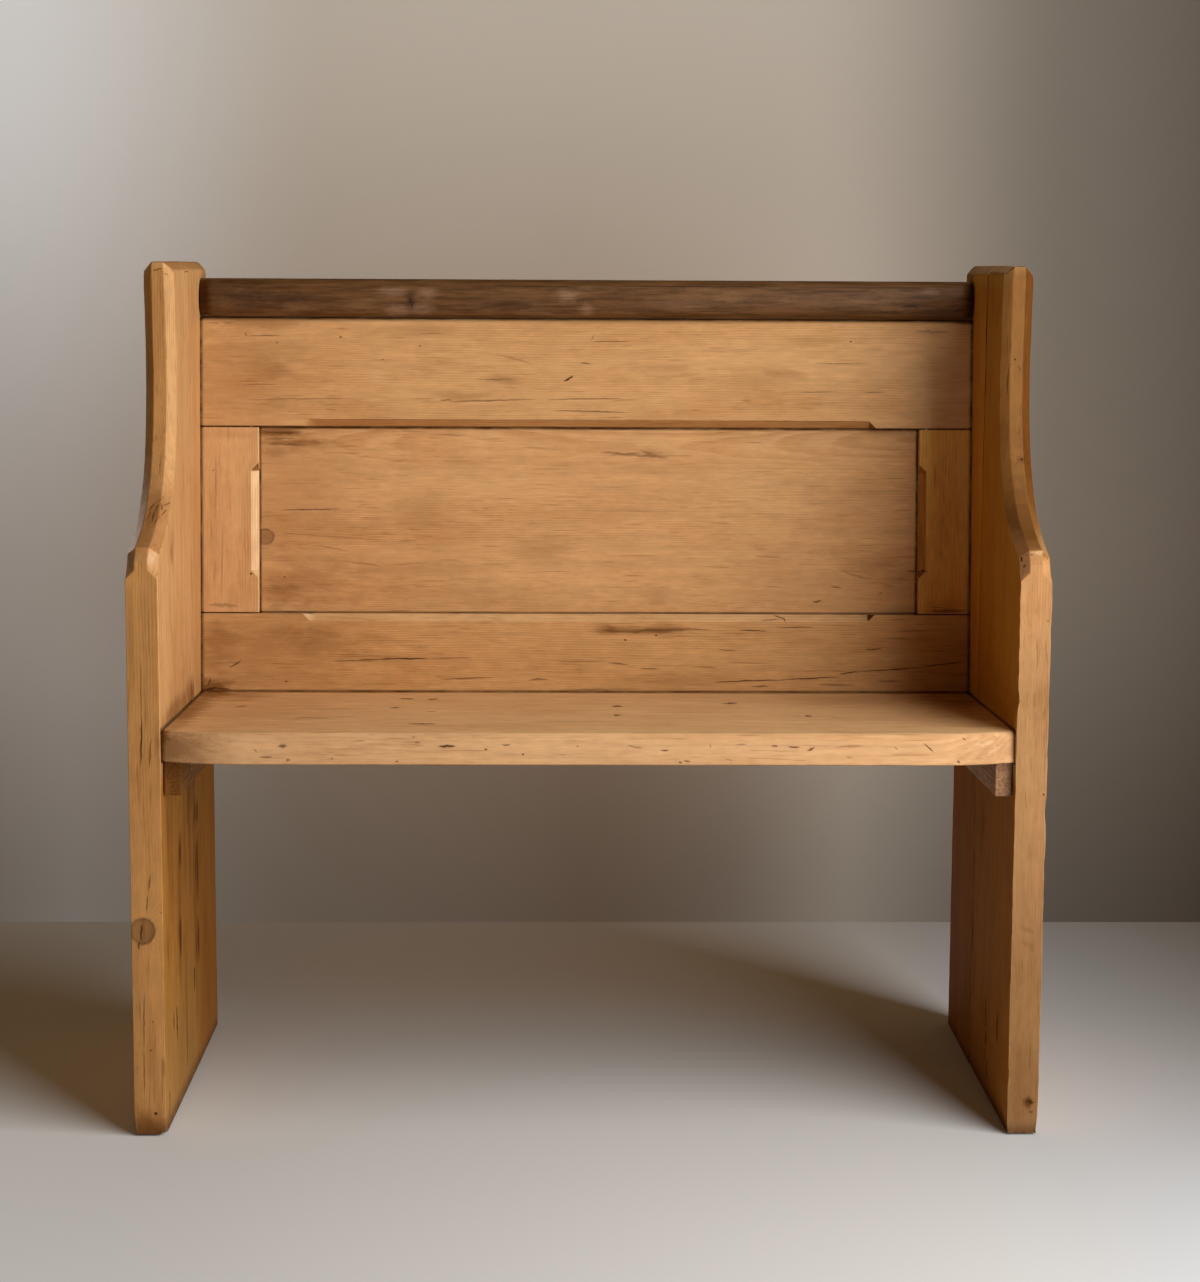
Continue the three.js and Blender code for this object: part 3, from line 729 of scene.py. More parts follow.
BOTTOM_RAIL_MARKS = [
    (198, 14, 45, 1.1, 2, 0.8), (271, 18, 36, 1.1, 3, 0.7), (318, 24, 13, 1.1, 9, 0.8),
    (370, 29, 44, 1.1, 4, 0.7), (432, 35, 28, 1.1, 8, 0.7), (210, 8, 12, 1.5, 0, 0.5),
    (302, 10, 22, 1.6, -1, 0.4), (367, 14, 16, 1.5, 1, 0.4), (252, 80, 23, 1.1, 0, 0.6),
    (135, 77, 17, 1.1, -2, 0.5), (201, 75, 18, 1.1, -2, 0.7), (171, 52, 12, 1.2, -3, 0.5),
    (348, 53, 11, 1.5, 2, 0.6), (148, 30, 11, 1.5, 0, 0.3), (-423, 34, 9, 1.6, 32, 0.6),
    (-266, 39, 41, 1.1, 2, 0.6), (-220, 41, 30, 1.3, 0, 0.8), (-163, 41, 27, 1.0, 1, 0.5),
    (-145, 17, 33, 1.4, 2, 0.5), (-58, 15, 13, 1.6, 1, 0.5), (-6, 38, 32, 1.1, 0, 0.4),
    (39, 35, 13, 1.2, -6, 0.5), (75, 76, 62, 3.1, 1, 0.4), (101, 77, 36, 1.6, 1, 0.5),
    (47, 64, 2, 1.5, 0, 0.9), (84, 69, 2, 1.6, 0, 0.7), (76, 29, 13, 1.2, -1, 0.5),
    (-362, 13, 2, 1.3, 0, 0.7), (17, 4, 48, 1.8, 1, 0.3), (-207, 56, 18, 3.6, -2, 0.15),
    (-453, 4, 9, 2.0, 12, 0.8), (-438, 3, 11, 1.5, -4, 0.6), (-455, 12, 7, 1.6, 65, 0.5),
    (234, 91, 9, 1.0, -20, 0.7), (240, 87, 5, 1.0, -70, 0.7), (222, 88, 12, 0.9, 4, 0.5),
]
LEFT_STILE_MARKS = [
    (-404, 143, 2, 1.7, -11, 0.8), (-449, 267, 1.5, 1.6, -26, 0.4), (-437, 104, 19, 3.0, -3, 0.3),
    (-446, 249, 42, 1.2, -90, 0.25), (-439, 159, 48, 1.2, -91, 0.25),
]
RIGHT_STILE_MARKS = [
    (408, 148, 4, 1.6, 5, 0.9), (440, 101, 22, 1.8, 1, 0.5), (426, 104, 14, 1.2, -4, 0.4),
]
SEAT_TOP_MARKS = [
    (-401, 193, 8, 6.0, 32, 0.6), (-310, 103, 22, 5.0, 1, 0.5), (-214, 253, 10, 6.0, -16, 0.7),
    (-182, 253, 7, 7.0, -6, 0.7), (-222, 182, 6, 6.0, 31, 0.7), (-185, 63, 17, 5.0, -2, 0.7),
    (-179, 155, 7, 5.0, 1, 0.4), (35, 196, 7, 8.0, 20, 0.8), (34, 133, 5, 8.0, -17, 0.8),
    (167, 223, 11, 8.0, 27, 0.7), (249, 126, 5, 8.0, 1, 0.8), (-21, 77, 56, 6.0, 2, 0.2),
    (-285, 171, 46, 7.0, 3, 0.15), (105, 151, 46, 7.0, 1, 0.15),
]
SEAT_FRONT_MARKS = [
    (-331, -15, 5, 2.8, 6, 0.6), (-349, -27, 8, 1.5, 0, 0.5), (-360, -20, 3, 1.2, -49, 0.5),
    (-325, -31, 3, 1.9, 32, 0.5), (-278, -29, 2, 1.2, 0, 0.5), (-190, -5, 2, 1.2, 0, 0.4),
    (-186, -10, 4, 1.6, 3, 0.4), (-154, -15, 10, 1.9, 3, 0.8), (-112, -18, 2, 1.4, 0, 0.8),
    (-90, -13, 5, 1.8, 5, 0.6), (-72, -23, 1.5, 1.4, 0, 0.8), (-13, -15, 1.5, 1.2, 0, 0.5),
    (49, -15, 9, 1.7, -9, 0.4), (81, -19, 5, 1.3, 0, 0.7), (98, -31, 2, 1.8, -9, 0.7),
    (-208, -32, 2, 1.3, 0, 0.7), (130, -14, 3, 0.9, -81, 0.4), (163, -13, 7, 1.4, 2, 0.35),
    (200, -14, 4, 1.5, 5, 0.6), (221, -15, 7, 1.4, -2, 0.7), (239, -17, 5, 1.5, 27, 0.8),
    (239, -17, 3, 1.1, -71, 0.6), (281, -15, 17, 2.0, 4, 0.3), (332, -16, 3, 0.9, -35, 0.5),
    (367, -16, 8, 0.9, -42, 0.8), (406, -6, 3, 1.0, -35, 0.8), (400, -32, 2, 1.6, 0, 0.7),
    (105, -31, 4, 1.6, -4, 0.6), (-29, -24, 3, 1.1, -5, 0.3), (-250, -10, 9, 1.3, 2, 0.3),
    (281, -26, 4, 1.3, -7, 0.3), (151, -29, 4, 1.3, -8, 0.3),
    (428, -13, 13, 4.0, 12, -0.5), (440, -20, 10, 3.5, 35, -0.4), (414, -18, 9, 2.0, 8, -0.35),
]
LEFT_FRONT_MARKS = [
    (-484, 500, 33, 0.9, -91, 0.5), (-485, 443, 29, 1.3, -92, 0.8), (-475, 431, 17, 1.3, -94, 0.6),
    (-480, 472, 27, 0.8, -92, 0.3), (-479, 286, 10, 1.0, -99, 0.6), (-481, 264, 11, 1.0, -95, 0.6),
    (-488, 231, 10, 1.3, -96, 1.0), (-491, 217, 5, 1.1, -95, 0.9), (-487, 131, 32, 0.9, -91, 0.6),
    (-488, 73, 26, 0.9, -91, 0.6), (-477, 130, 1.5, 1.3, 0, 0.5), (-480, 99, 2, 1.2, 14, 0.5),
    (-475, 26, 2, 2.4, 57, 1.0), (-499, 303, 4, 1.7, -86, 0.6), (-466, 253, 2, 1.3, -40, 0.5),
    (-483, 690, 5, 1.0, 60, 0.7), (-478, 688, 6, 0.9, 75, 0.7), (-473, 690, 5, 0.9, 110, 0.6),
    (-470, 684, 4, 0.9, 50, 0.6), (-480, 680, 6, 1.0, 95, 0.7), (-475, 677, 5, 1.0, 65, 0.7),
    (-485, 682, 5, 0.9, 80, 0.6), (-469, 692, 4, 1.0, 20, 0.6), (-476, 697, 6, 0.8, 40, 0.5),
    (-481, 950, 8, 1.2, 12, 0.6), (-474, 946, 5, 1.0, -30, 0.5), (-479, 735, 12, 0.8, 88, 0.4),
]
RIGHT_FRONT_MARKS = [
    (496, 386, 1.5, 1.6, 0, 0.8), (482, 235, 9, 3.3, -23, 0.15), (484, 216, 10, 4.4, -43, 0.15),
    (490, 39, 5, 3.3, -14, 0.9), (491, 28, 3, 2.2, 23, 0.5), (495, 577, 1.5, 1.3, -62, 0.5),
    (495, 543, 14, 1.3, -85, 0.2), (465.5, 424, 3, 1.3, 167, 0.9), (486, 458, 33, 1.6, -88, 0.12),
    (467, 643, 3, 1.5, 80, 0.9), (470, 636, 2, 1.4, 50, 0.8), (476, 649, 5, 1.0, 10, 0.5),
    (490, 650, 6, 0.9, -5, 0.5), (497, 645, 3, 1.2, 60, 0.5),
    (480, 855, 1.5, 1.5, 0, 0.9), (473, 831, 17, 1.0, -93, 0.5), (475, 848, 4, 0.9, -107, 0.4),
    (487, 743, 1.5, 2.0, 0, 1.0), (485, 844, 4, 1.0, -55, 0.6),
]
LEFT_INSIDE_MARKS = [
    (114, 194, 24, 5.0, -97, 0.8), (28, 205, 22, 4.0, -91, 0.5), (79, 103, 21, 5.0, -86, 0.9),
    (60, 113, 12, 4.0, -88, 0.7), (170, 46, 46, 5.0, -93, 0.7), (136, 178, 17, 4.0, -92, 0.4),
    (119, 291, 17, 5.0, -92, 0.9), (190, 250, 34, 3.5, -90, 0.5), (150, 60, 30, 3.5, -92, 0.6),
    (92, 638, 14, 8.0, -86, 0.3), (94, 369, 12, 9.0, -85, 0.2), (207, 116, 16, 6.0, -90, 0.8),
    (26, 27, 18, 5.0, -88, 0.5), (150, 300, 60, 3.0, -90, 0.4), (215, 250, 70, 3.0, -90, 0.4),
]
RIGHT_INSIDE_MARKS = [
    (-139, 79, 41, 4.0, 94, 1.0), (-69, 102, 20, 4.5, 88, 1.0), (-127, 30, 14, 3.5, 89, 0.8),
    (-190, 300, 40, 2.5, 90, 0.5), (-105, 210, 60, 2.5, 91, 0.4), (-215, 120, 30, 3.0, 89, 0.5),
]
CAP_MARKS = [
    (388, 466, 10, 1.4, -4, 0.9), (446, 462, 9, 1.4, 12, 0.9), (300, 484, 40, 1.0, 1, 0.7),
    (-60, 488, 55, 1.0, 0, 0.6), (160, 460, 45, 0.9, 1, 0.6), (-260, 482, 50, 0.9, -1, 0.6),
    (120, 489, 90, 1.2, 0, 0.7), (330, 489, 80, 1.2, 0, 0.7), (-212, 468, 7, 2.6, -75, 0.8),
]

# Each stain is (right, up, half its width, half its height, its strength), in millimetres on
# its face. Up is back on the seat's top, and right is back on the ends' inner faces, both from
# the front edge. A strength below zero is a paler patch. Some ovals are painted shade, and some
# pale ones painted light, as noted at their tables.
TOP_RAIL_STAINS_AND_SHADE = [
    # (-420, 385, ...) is painted shade, darker towards the left; the rows at 436 to 446 mm are a
    # dark band under the cap rail, partly dirt and partly painted shade; (420, 385, ...) is painted
    # light on the right end's shadow
    (-420, 385, 100, 90, 0.30), (-383, 392, 44, 19, 0.22), (-400, 445, 70, 9, 0.35),
    (-197, 436, 90, 8, 0.30), (60, 446, 150, 5, 0.20), (390, 442, 80, 12, 0.20),
    (420, 385, 70, 70, -0.20), (-174, 400, 26, 6, 0.25), (-102, 377, 26, 6, 0.40),
    (-155, 356, 33, 7, 0.35), (-373, 350, 34, 10, 0.20), (-253, 381, 13, 8, -0.20),
    (198, 380, 54, 17, 0.20), (228, 386, 24, 5, 0.35), (265, 424, 47, 7, 0.25),
    (88, 391, 39, 5, 0.20),
]
PANEL_STAINS_AND_SHADE = [
    # (-350, 205, ...) is painted shade, darker towards the left; (397, 200, ...) is painted shade
    # beside the right stile
    (-350, 205, 85, 160, 0.27), (-368, 312, 36, 5, 0.80), (-352, 301, 56, 4, 0.65),
    (-372, 290, 26, 8, 0.35), (-343, 132, 60, 38, 0.22), (-372, 115, 34, 22, 0.30),
    (397, 200, 9, 120, 0.12), (-204, 147, 89, 13, 0.25), (-52, 171, 43, 20, 0.30),
    (-203, 219, 38, 25, 0.25), (-130, 114, 171, 19, 0.18), (82, 290, 22, 5, 0.35),
    (101, 271, 85, 10, 0.15), (332, 245, 58, 24, 0.15), (350, 153, 41, 17, 0.30),
    (81, 118, 20, 14, 0.25),
]
BOTTOM_RAIL_STAINS_AND_SHADE = [
    # (-400, 50, ...) is painted shade, darker towards the left; (450, 45, ...) is painted shade at
    # the right end; (-452, 6, ...) is darker in the corner by the seat and the left end
    (-400, 50, 130, 80, 0.36), (-445, 55, 24, 40, 0.30), (-329, 60, 82, 21, 0.25),
    (21, 77, 20, 8, 0.40), (72, 76, 56, 7, 0.70), (118, 12, 102, 12, 0.30),
    (358, 29, 104, 15, 0.12), (-452, 6, 22, 12, 0.95), (450, 45, 26, 60, 0.20),
]
LEFT_STILE_STAINS = [
    (-449, 200, 8, 59, 0.18), (-420, 116, 21, 18, 0.12), (-427, 310, 30, 6, 0.20),
    (-421, 220, 10, 40, -0.15),
]
RIGHT_STILE_STAINS = [(434, 99, 30, 4, 0.70), (440, 108, 24, 8, 0.25)]
SEAT_TOP_STAINS_AND_SHADE = [
    # (-400, 150, ...) is painted shade, darker towards the left; (470, 330, ...) and (425, 210,
    # ...) are the right end's painted shadow; (-452, 300, ...), (-425, 290, ...) and (-455, 160,
    # ...) are darker in the rear left corner and along the left end
    (-400, 150, 110, 200, 0.30), (470, 330, 60, 170, 0.65), (425, 210, 60, 110, 0.50),
    (-452, 300, 30, 30, 0.85), (-425, 290, 60, 60, 0.35), (-455, 160, 20, 190, 0.70),
    (-300, 130, 120, 60, 0.12), (330, 240, 130, 50, 0.25), (420, 120, 40, 60, -0.12),
]
SEAT_FRONT_STAINS_AND_SHADE = [
    # (-456, -20, ...) darkens the left corner, partly dirt and partly painted shade where its curve
    # turns away from the light; (440, -18, ...) is painted shade on the right corner
    (-456, -20, 46, 18, 0.60), (-461, -6, 7, 10, 0.7), (440, -18, 44, 22, 0.42),
    (120, -18, 260, 12, -0.15),
]
CAP_STAINS = [
    (-233, 482, 20, 7, -0.6), (-224, 459, 18, 8, -0.7), (-200, 461, 16, 7, -0.7),
    (-192, 480, 14, 6, -0.6), (-212, 470, 7, 14, 0.6), (-25, 478, 16, 8, -0.7),
    (-2, 461, 10, 7, -0.6), (410, 484, 14, 5, -0.5), (120, 470, 60, 9, -0.2),
    (-350, 474, 60, 7, 0.35), (-420, 474, 70, 22, 0.45), (300, 478, 120, 12, -0.18),
    (-120, 470, 50, 10, 0.2),
]
LEFT_FRONT_STAINS = [
    (-484, 14, 24, 22, 0.75), (-494, 560, 5, 60, 0.3), (-482, 957, 20, 7, -0.25),
    (-478, 686, 13, 18, 0.55), (-487, 664, 8, 14, 0.5), (-495, 641, 5, 12, 0.6),
    (-471, 641, 7, 9, -0.5), (-480, 110, 4, 80, 0.25), (-467, 440, 5, 28, 0.55),
]
LEFT_REAR_STAINS = [
    (247, 310, 8, 20, 1.2), (246, 240, 7, 40, 1.2), (246, 150, 7, 26, 1.1),
    (300, 120, 40, 130, 0.3),
]
LEFT_INSIDE_STAINS = [
    (234, 310, 8, 20, 1.2), (234, 240, 7, 40, 1.2), (233, 150, 7, 26, 1.1),
    # (230, 455, ...) and (100, 460, ...) are darker along the seat's joint
    (119, 291, 8, 20, 1.0), (112, 198, 12, 22, 0.9), (230, 455, 70, 20, 0.85),
    (100, 460, 100, 14, 0.65), (97, 646, 22, 28, 0.3), (225, 180, 16, 190, 0.45),
    (110, 200, 14, 90, 0.55), (60, 300, 16, 90, 0.40), (40, 330, 12, 60, 0.45),
    (150, 120, 12, 80, 0.35), (185, 330, 14, 70, 0.40), (205, 350, 50, 45, 0.40),
]
RIGHT_INSIDE_STAINS = [
    (236, 255, 6, 26, 0.9), (236, 165, 6, 24, 0.9), (240, 190, 16, 150, 0.30),
    (120, 140, 20, 110, 0.30), (60, 120, 14, 70, 0.30), (190, 330, 30, 60, 0.25),
    (190, 952, 120, 16, -0.5),
]
RIGHT_REAR_STAINS = [(300, 952, 120, 16, -0.5), (250, 360, 30, 60, 0.25)]
RIGHT_FRONT_STAINS = [
    (482, 957, 20, 7, -0.45), (488, 38, 7, 7, 0.9), (486, 743, 5, 5, 0.6), (478, 240, 5, 60, 0.15),
    (484, 12, 18, 9, -0.2), (486, 651, 9, 3, -0.7), (484, 60, 20, 60, 0.25),
]


# ---------------------------------------------------------------- the pew's pieces

BACK_TURN = (RAKE, BACK.corner)  # brings the raked back upright
SEAT_TURN = (FALL, SEAT_TOP.corner)  # brings the falling seat level
BACK_FOOT = BACK.corner.z / MM
SEAT_LEVEL = SEAT_TOP.corner.z / MM
SEAT_EDGE = SEAT_TOP.corner.y / MM


def upright(listed, foot=0.0):
    """Stains and painted shade and light on a face that looks forwards."""
    return [(X, right, wide, Z, foot + up, high, strength, FORWARDS)
            for right, up, wide, high, strength in listed]


def level(listed):
    """Stains and painted shade on the seat's top."""
    return [(X, right, wide, Y, SEAT_EDGE + far, deep, strength, UPWARDS)
            for right, far, wide, deep, strength in listed]


def inside(listed, way):
    """Stains on the inner face of an end, from its front edge."""
    return [(Y, far - ROW_SETBACK / MM, deep, Z, up, high, strength, way)
            for far, up, deep, high, strength in listed]


def build_back():
    ends = [(X, -INNER, 5, 0.85), (X, INNER, 5, 0.85)]
    low_joint, high_joint = BACK_FOOT + 95.4, BACK_FOOT + 319.5
    joints = [(Z, low_joint, 1.6, 0.9), (Z, high_joint, 1.8, 0.9)]
    rail, pale = (0.585, 0.318, 0.133), (0.605, 0.330, 0.142)
    top = pine(
        "top_rail_pine", rail, "across", (0.10, BACK_FOOT * MM + 0.47), 3.1, BACK_TURN,
        stains_and_shade=upright(TOP_RAIL_STAINS_AND_SHADE, BACK_FOOT),
        # the line at 450 mm is partly painted shade under the cap rail
        dirt_and_shade_lines=[*ends, (Z, high_joint, 2.4, 1.0), (Z, BACK_FOOT + 450, 4, 0.8)],
        # painted shade on the lower chamfer, which looks down, and on its stop that looks left;
        # painted light on the stop that looks right
        facing_light_and_shade=[painted_facing_light(chamfer(0, -1), (0.78, 0.70, 0.58)),
                    painted_facing_light(chamfer(-1, -1), (0.36, 0.26, 0.12)),
                    painted_facing_light(chamfer(1, -1), (1.15, 1.25, 1.4))],
    )
    bottom = pine(
        "bottom_rail_pine", (0.590, 0.322, 0.130), "across", (0.12, BACK_FOOT * MM - 0.10), 5.7,
        BACK_TURN, stains_and_shade=upright(BOTTOM_RAIL_STAINS_AND_SHADE, BACK_FOOT), blotch=0.3,
        dirt_and_shade_lines=[*ends, (Z, low_joint, 1.5, 0.8), (Z, BACK_FOOT + 1, 3, 0.8)],
        # painted light on the upper chamfer, which looks up, and on its stop that looks right;
        # painted shade on the stop that looks left
        facing_light_and_shade=[painted_facing_light(chamfer(0, 1), (1.10, 1.18, 1.34)),
                    painted_facing_light(chamfer(-1, 1), (0.18, 0.12, 0.05)),
                    painted_facing_light(chamfer(1, 1), (1.2, 1.4, 1.7))],
    )
    panel = pine(
        "panel_pine", pale, "across", (0.06, BACK_FOOT * MM + 0.30), 9.2, BACK_TURN,
        knots=[(-388, BACK_FOOT + 187, 8.7)], stains_and_shade=upright(PANEL_STAINS_AND_SHADE, BACK_FOOT), spacing=2.6,
        dirt_and_shade_lines=[(Z, BACK_FOOT + 96, 2, 0.8), (Z, BACK_FOOT + 319, 3.2, 1.0),
               (X, -394, 3, 0.8), (X, 400.5, 4, 1.0)],
    )
    left = pine(
        "left_stile_pine", pale, "up", (-0.33, 0.14), 12.4, BACK_TURN, streaks=0.2,
        stains_and_shade=upright(LEFT_STILE_STAINS, BACK_FOOT), dirt_and_shade_lines=[(X, -INNER, 5, 0.85), *joints],
        # painted light on the chamfer and on its stop that looks up; painted shade on its stop that
        # looks down
        facing_light_and_shade=[painted_facing_light(chamfer(1, 0), (1.2, 1.4, 1.7)),
                    painted_facing_light(chamfer(1, -1), (0.34, 0.24, 0.12)),
                    painted_facing_light(chamfer(1, 1), (1.2, 1.4, 1.7))],
    )
    right = pine(
        "right_stile_pine", pale, "up", (0.55, 0.16), 14.8, BACK_TURN,
        stains_and_shade=upright(RIGHT_STILE_STAINS, BACK_FOOT), dirt_and_shade_lines=[(X, INNER, 5, 0.9), *joints],
        # painted light on the front, which lies in the right end's shadow: lighter and warmer;
        # painted shade on the chamfer and its stops, which look away from the light
        facing_light_and_shade=[painted_facing_light(FORWARDS, (1.19, 1.14, 0.66), 0.5),
                    painted_facing_light(chamfer(-1, 0), (0.56, 0.46, 0.36)),
                    painted_facing_light(chamfer(-1, -1), (0.5, 0.36, 0.2)),
                    painted_facing_light(chamfer(-1, 1), (0.4, 0.28, 0.15))],
    )
    worn_board("top_rail", top, "across", 1, marks=[(BACK, TOP_RAIL_MARKS)])
    worn_board("bottom_rail", bottom, "across", 2, marks=[(BACK, BOTTOM_RAIL_MARKS)])
    worn_board("back_panel", panel, "across", 3, marks=[(BACK, PANEL_MARKS)])
    worn_board("left_stile", left, "up", 4, marks=[(BACK, LEFT_STILE_MARKS)])
    worn_board("right_stile", right, "up", 5, marks=[(BACK, RIGHT_STILE_MARKS)])
    cap = cap_wood("cap_polish", 4.3, upright(CAP_STAINS, BACK_FOOT - 1))
    worn_board("cap_rail", cap, "across", 6, radius=1.6, waver=0.8,
               marks=[(BACK, CAP_MARKS)])


def build_seat():
    finish = pine(
        "seat_pine", (0.690, 0.422, 0.204), "across", (0.02, 0.35), 21.0, SEAT_TURN,
        stains_and_shade=level(SEAT_TOP_STAINS_AND_SHADE) + upright(SEAT_FRONT_STAINS_AND_SHADE, SEAT_LEVEL),
        dirt_and_shade_lines=[(X, -INNER, 6, 0.9), (X, INNER, 1.2, 0.4), (Y, BACK.corner.y / MM, 5, 0.5),
               (Z, SEAT_LEVEL - 36, 2.5, 0.8)],
        # painted shade on the front, which looks forwards: darker and less blue
        facing_light_and_shade=[painted_facing_light(FORWARDS, (0.92, 0.85, 0.83), 0.6)], gloss=0.42,
    )

    def on_top(edge):
        middle = (edge.verts[0].co + edge.verts[1].co) / 2
        return abs(SEAT_TOP.out.dot(middle - SEAT_CORNER)) < 0.4 * MM
    worn_board(
        "seat_board", finish, "across", 7, radius=1.3, waver=0.9, every=13,
        marks=[(SEAT_TOP, SEAT_TOP_MARKS), (SEAT_FRONT, SEAT_FRONT_MARKS)], soft=(5.0, on_top),
    )


def build_ends():
    joint = (Y, EDGE_JOINT, 1.6, 0.9)
    left_tone, right_tone = (0.525, 0.272, 0.106), (0.500, 0.258, 0.105)
    left = pine("left_end_pine", left_tone, "up", (-0.62, -0.12), 31.0, knots=[(-487, 233, 12)],
                stains_and_shade=upright(LEFT_FRONT_STAINS) + inside(LEFT_INSIDE_STAINS, TO_THE_RIGHT),
                dirt_and_shade_lines=[joint, (Z, 0, 26, 0.75)],
                # painted shade on the front, on the outer chamfer and on the inner face below the
                # seat; painted light on the inner chamfer, and on the inner face near the floor and
                # above the seat, which turn greyer
                facing_light_and_shade=[painted_facing_light(FORWARDS, (0.92, 0.85, 0.70), 0.75),
                            (TO_THE_RIGHT, 0.5, 430, 380, (0.67, 0.535, 0.24)),
                            (TO_THE_RIGHT, 0.5, 210, 50, (1.0, 1.15, 1.4)),
                            (TO_THE_RIGHT, 0.8, 430, 470, (1.0, 1.06, 1.14)),
                            (chamfer(1, 0), 0.8, 640, 650, (1.08, 1.16, 1.25)),
                            (chamfer(-1, 0), 0.8, 640, 650, (0.88, 0.76, 0.45))],
                spacing=2.8, contrast=0.4, streaks=0.5)
    left_rear = pine("left_rear_pine", left_tone, "up", (-0.40, 0.20), 33.0,
                     stains_and_shade=inside(LEFT_REAR_STAINS, TO_THE_RIGHT),
                     dirt_and_shade_lines=[joint, (Z, 0, 20, 0.7)], streaks=0.5,
                     # painted shade on the inner face below the seat
                     facing_light_and_shade=[(TO_THE_RIGHT, 0.5, 430, 380, (0.64, 0.48, 0.17))])
    right = pine("right_end_pine", right_tone, "up", (0.66, -0.16), 36.0,
                 stains_and_shade=upright(RIGHT_FRONT_STAINS) + inside(RIGHT_INSIDE_STAINS, TO_THE_LEFT),
                 dirt_and_shade_lines=[joint, (Z, 0, 22, 0.7)],
                 # darker above 651 mm on the faces that look forwards, and on the outer chamfer;
                 # painted light on the inner chamfer; painted shade on the front below 640 mm and
                 # on the inner face, deep orange below and above the seat
                 facing_light_and_shade=[(FORWARDS, 0.2, 651, 657, (0.46, 0.39, 0.24)),
                             (chamfer(-1, 0), 0.75, 651, 657, (1.4, 1.45, 1.45)),
                             (chamfer(1, 0), 0.75, 640, 650, (0.56, 0.44, 0.24)),
                             (FORWARDS, 0.3, 640, 480, (0.77, 0.765, 0.745)),
                             (FORWARDS, 0.3, 420, 120, (0.74, 0.71, 0.64)),
                             (TO_THE_LEFT, 0.5, 430, 380, (0.74, 0.51, 0.12)),
                             (TO_THE_LEFT, 0.8, 430, 470, (0.80, 0.74, 0.20))],
                 spacing=2.6, streaks=0.4)
    right_rear = pine("right_rear_pine", right_tone, "up", (0.40, 0.24), 39.0,
                      stains_and_shade=inside(RIGHT_REAR_STAINS, TO_THE_LEFT),
                      dirt_and_shade_lines=[joint, (Z, 0, 20, 0.7)], streaks=0.4,
                      # painted shade on the inner face, deep orange below and above the seat
                      facing_light_and_shade=[(TO_THE_LEFT, 0.5, 430, 380, (0.70, 0.46, 0.12)),
                                  (TO_THE_LEFT, 0.8, 430, 470, (1.0, 0.89, 0.31))])
    foot, crown, shoulder = (0, 0, 30, 2.6), (141, 960, 22, 1.8), (5, 645, 18, 1.2)
    knocks = [(bench(x, far, up), radius, deep) for far, up, radius, deep in (foot, crown, shoulder)
              for x in (-OUTER, -INNER, INNER, OUTER)]
    dice = random.Random(12)
    torn = [(bench(x, 0, dice.uniform(low, high)), dice.uniform(7, 14), dice.uniform(0.4, deepest))
            for x, low, high, count, deepest in (
                (INNER, 475, 645, 14, 2.0), (INNER, 60, 400, 8, 1.6), (OUTER, 300, 648, 9, 1.1))
            for _ in range(count)]

    def on_crown(edge):
        return min(vert.co.z for vert in edge.verts) > CROWN
    worn_board("left_end_front_board", left, "up", 8, radius=1.3, waver=1.0, every=9,
               marks=[(END_FRONT, LEFT_FRONT_MARKS), (LEFT_INSIDE, LEFT_INSIDE_MARKS)],
               knocks=knocks, soft=(2.6, on_crown),
               chips=[(bench(-471, 0, 0), (0.62, -0.25, -0.74))], mend=close_housing)
    worn_board("right_end_front_board", right, "up", 9, radius=1.3, waver=1.3, every=8,
               marks=[(END_FRONT, RIGHT_FRONT_MARKS), (RIGHT_INSIDE, RIGHT_INSIDE_MARKS)],
               knocks=knocks + torn, soft=(2.6, on_crown), mend=close_housing)
    for side, wood, seed in (("left", left_rear, 10), ("right", right_rear, 11)):
        worn_board(f"{side}_end_rear_board", wood, "up", seed, waver=0.8,
                   soft=(2.6, on_crown))


def build_bearers():
    brown, pale = (0.21, 0.08, 0.016), (0.45, 0.24, 0.125)
    for side, tone, seed in (("left", brown, 51), ("right", pale, 57)):
        wood = sawn_pine(f"{side}_bearer_pine", tone, "deep", seed, SEAT_TURN)
        worn_board(f"{side}_seat_bearer", wood, "deep", seed, radius=1.6,
                   waver=1.0)
        tongue = sawn_pine(f"{side}_tongue_pine", tone, "up", seed + 3)
        frame["nodes"][f"{side}_end_tongue"].material_slots[0].material = tongue


def finish_metal():
    screw = aged_metal("screw_metal", (0.62, 0.58, 0.50), (0.30, 0.19, 0.11), 0.3, 2.0)
    nail = aged_metal("nail_metal", (0.16, 0.12, 0.10), (0.10, 0.045, 0.02), 0.5, 8.0)
    for name, node in frame["nodes"].items():
        if "screw" in name:
            node.material_slots[0].material = screw
        if "nail" in name:
            node.material_slots[0].material = nail


# ---------------------------------------------------------------- floor, wall, light, camera

def grid(name, corners, material, steps=24):
    """A flat piece of the setting, as a fine grid between three corners."""
    low, right, up = (Vector(corner) for corner in corners)
    bm = bmesh.new()
    bmesh.ops.create_grid(bm, x_segments=steps, y_segments=steps, size=0.5)
    for vert in bm.verts:
        share = vert.co + Vector((0.5, 0.5, 0))
        vert.co = low + (right - low) * share.x + (up - low) * share.y
    mesh = bpy.data.meshes.new(name)
    bm.to_mesh(mesh)
    bm.free()
    mesh.materials.append(material)
    piece = bpy.data.objects.new(name, mesh)
    bpy.context.scene.collection.objects.link(piece)


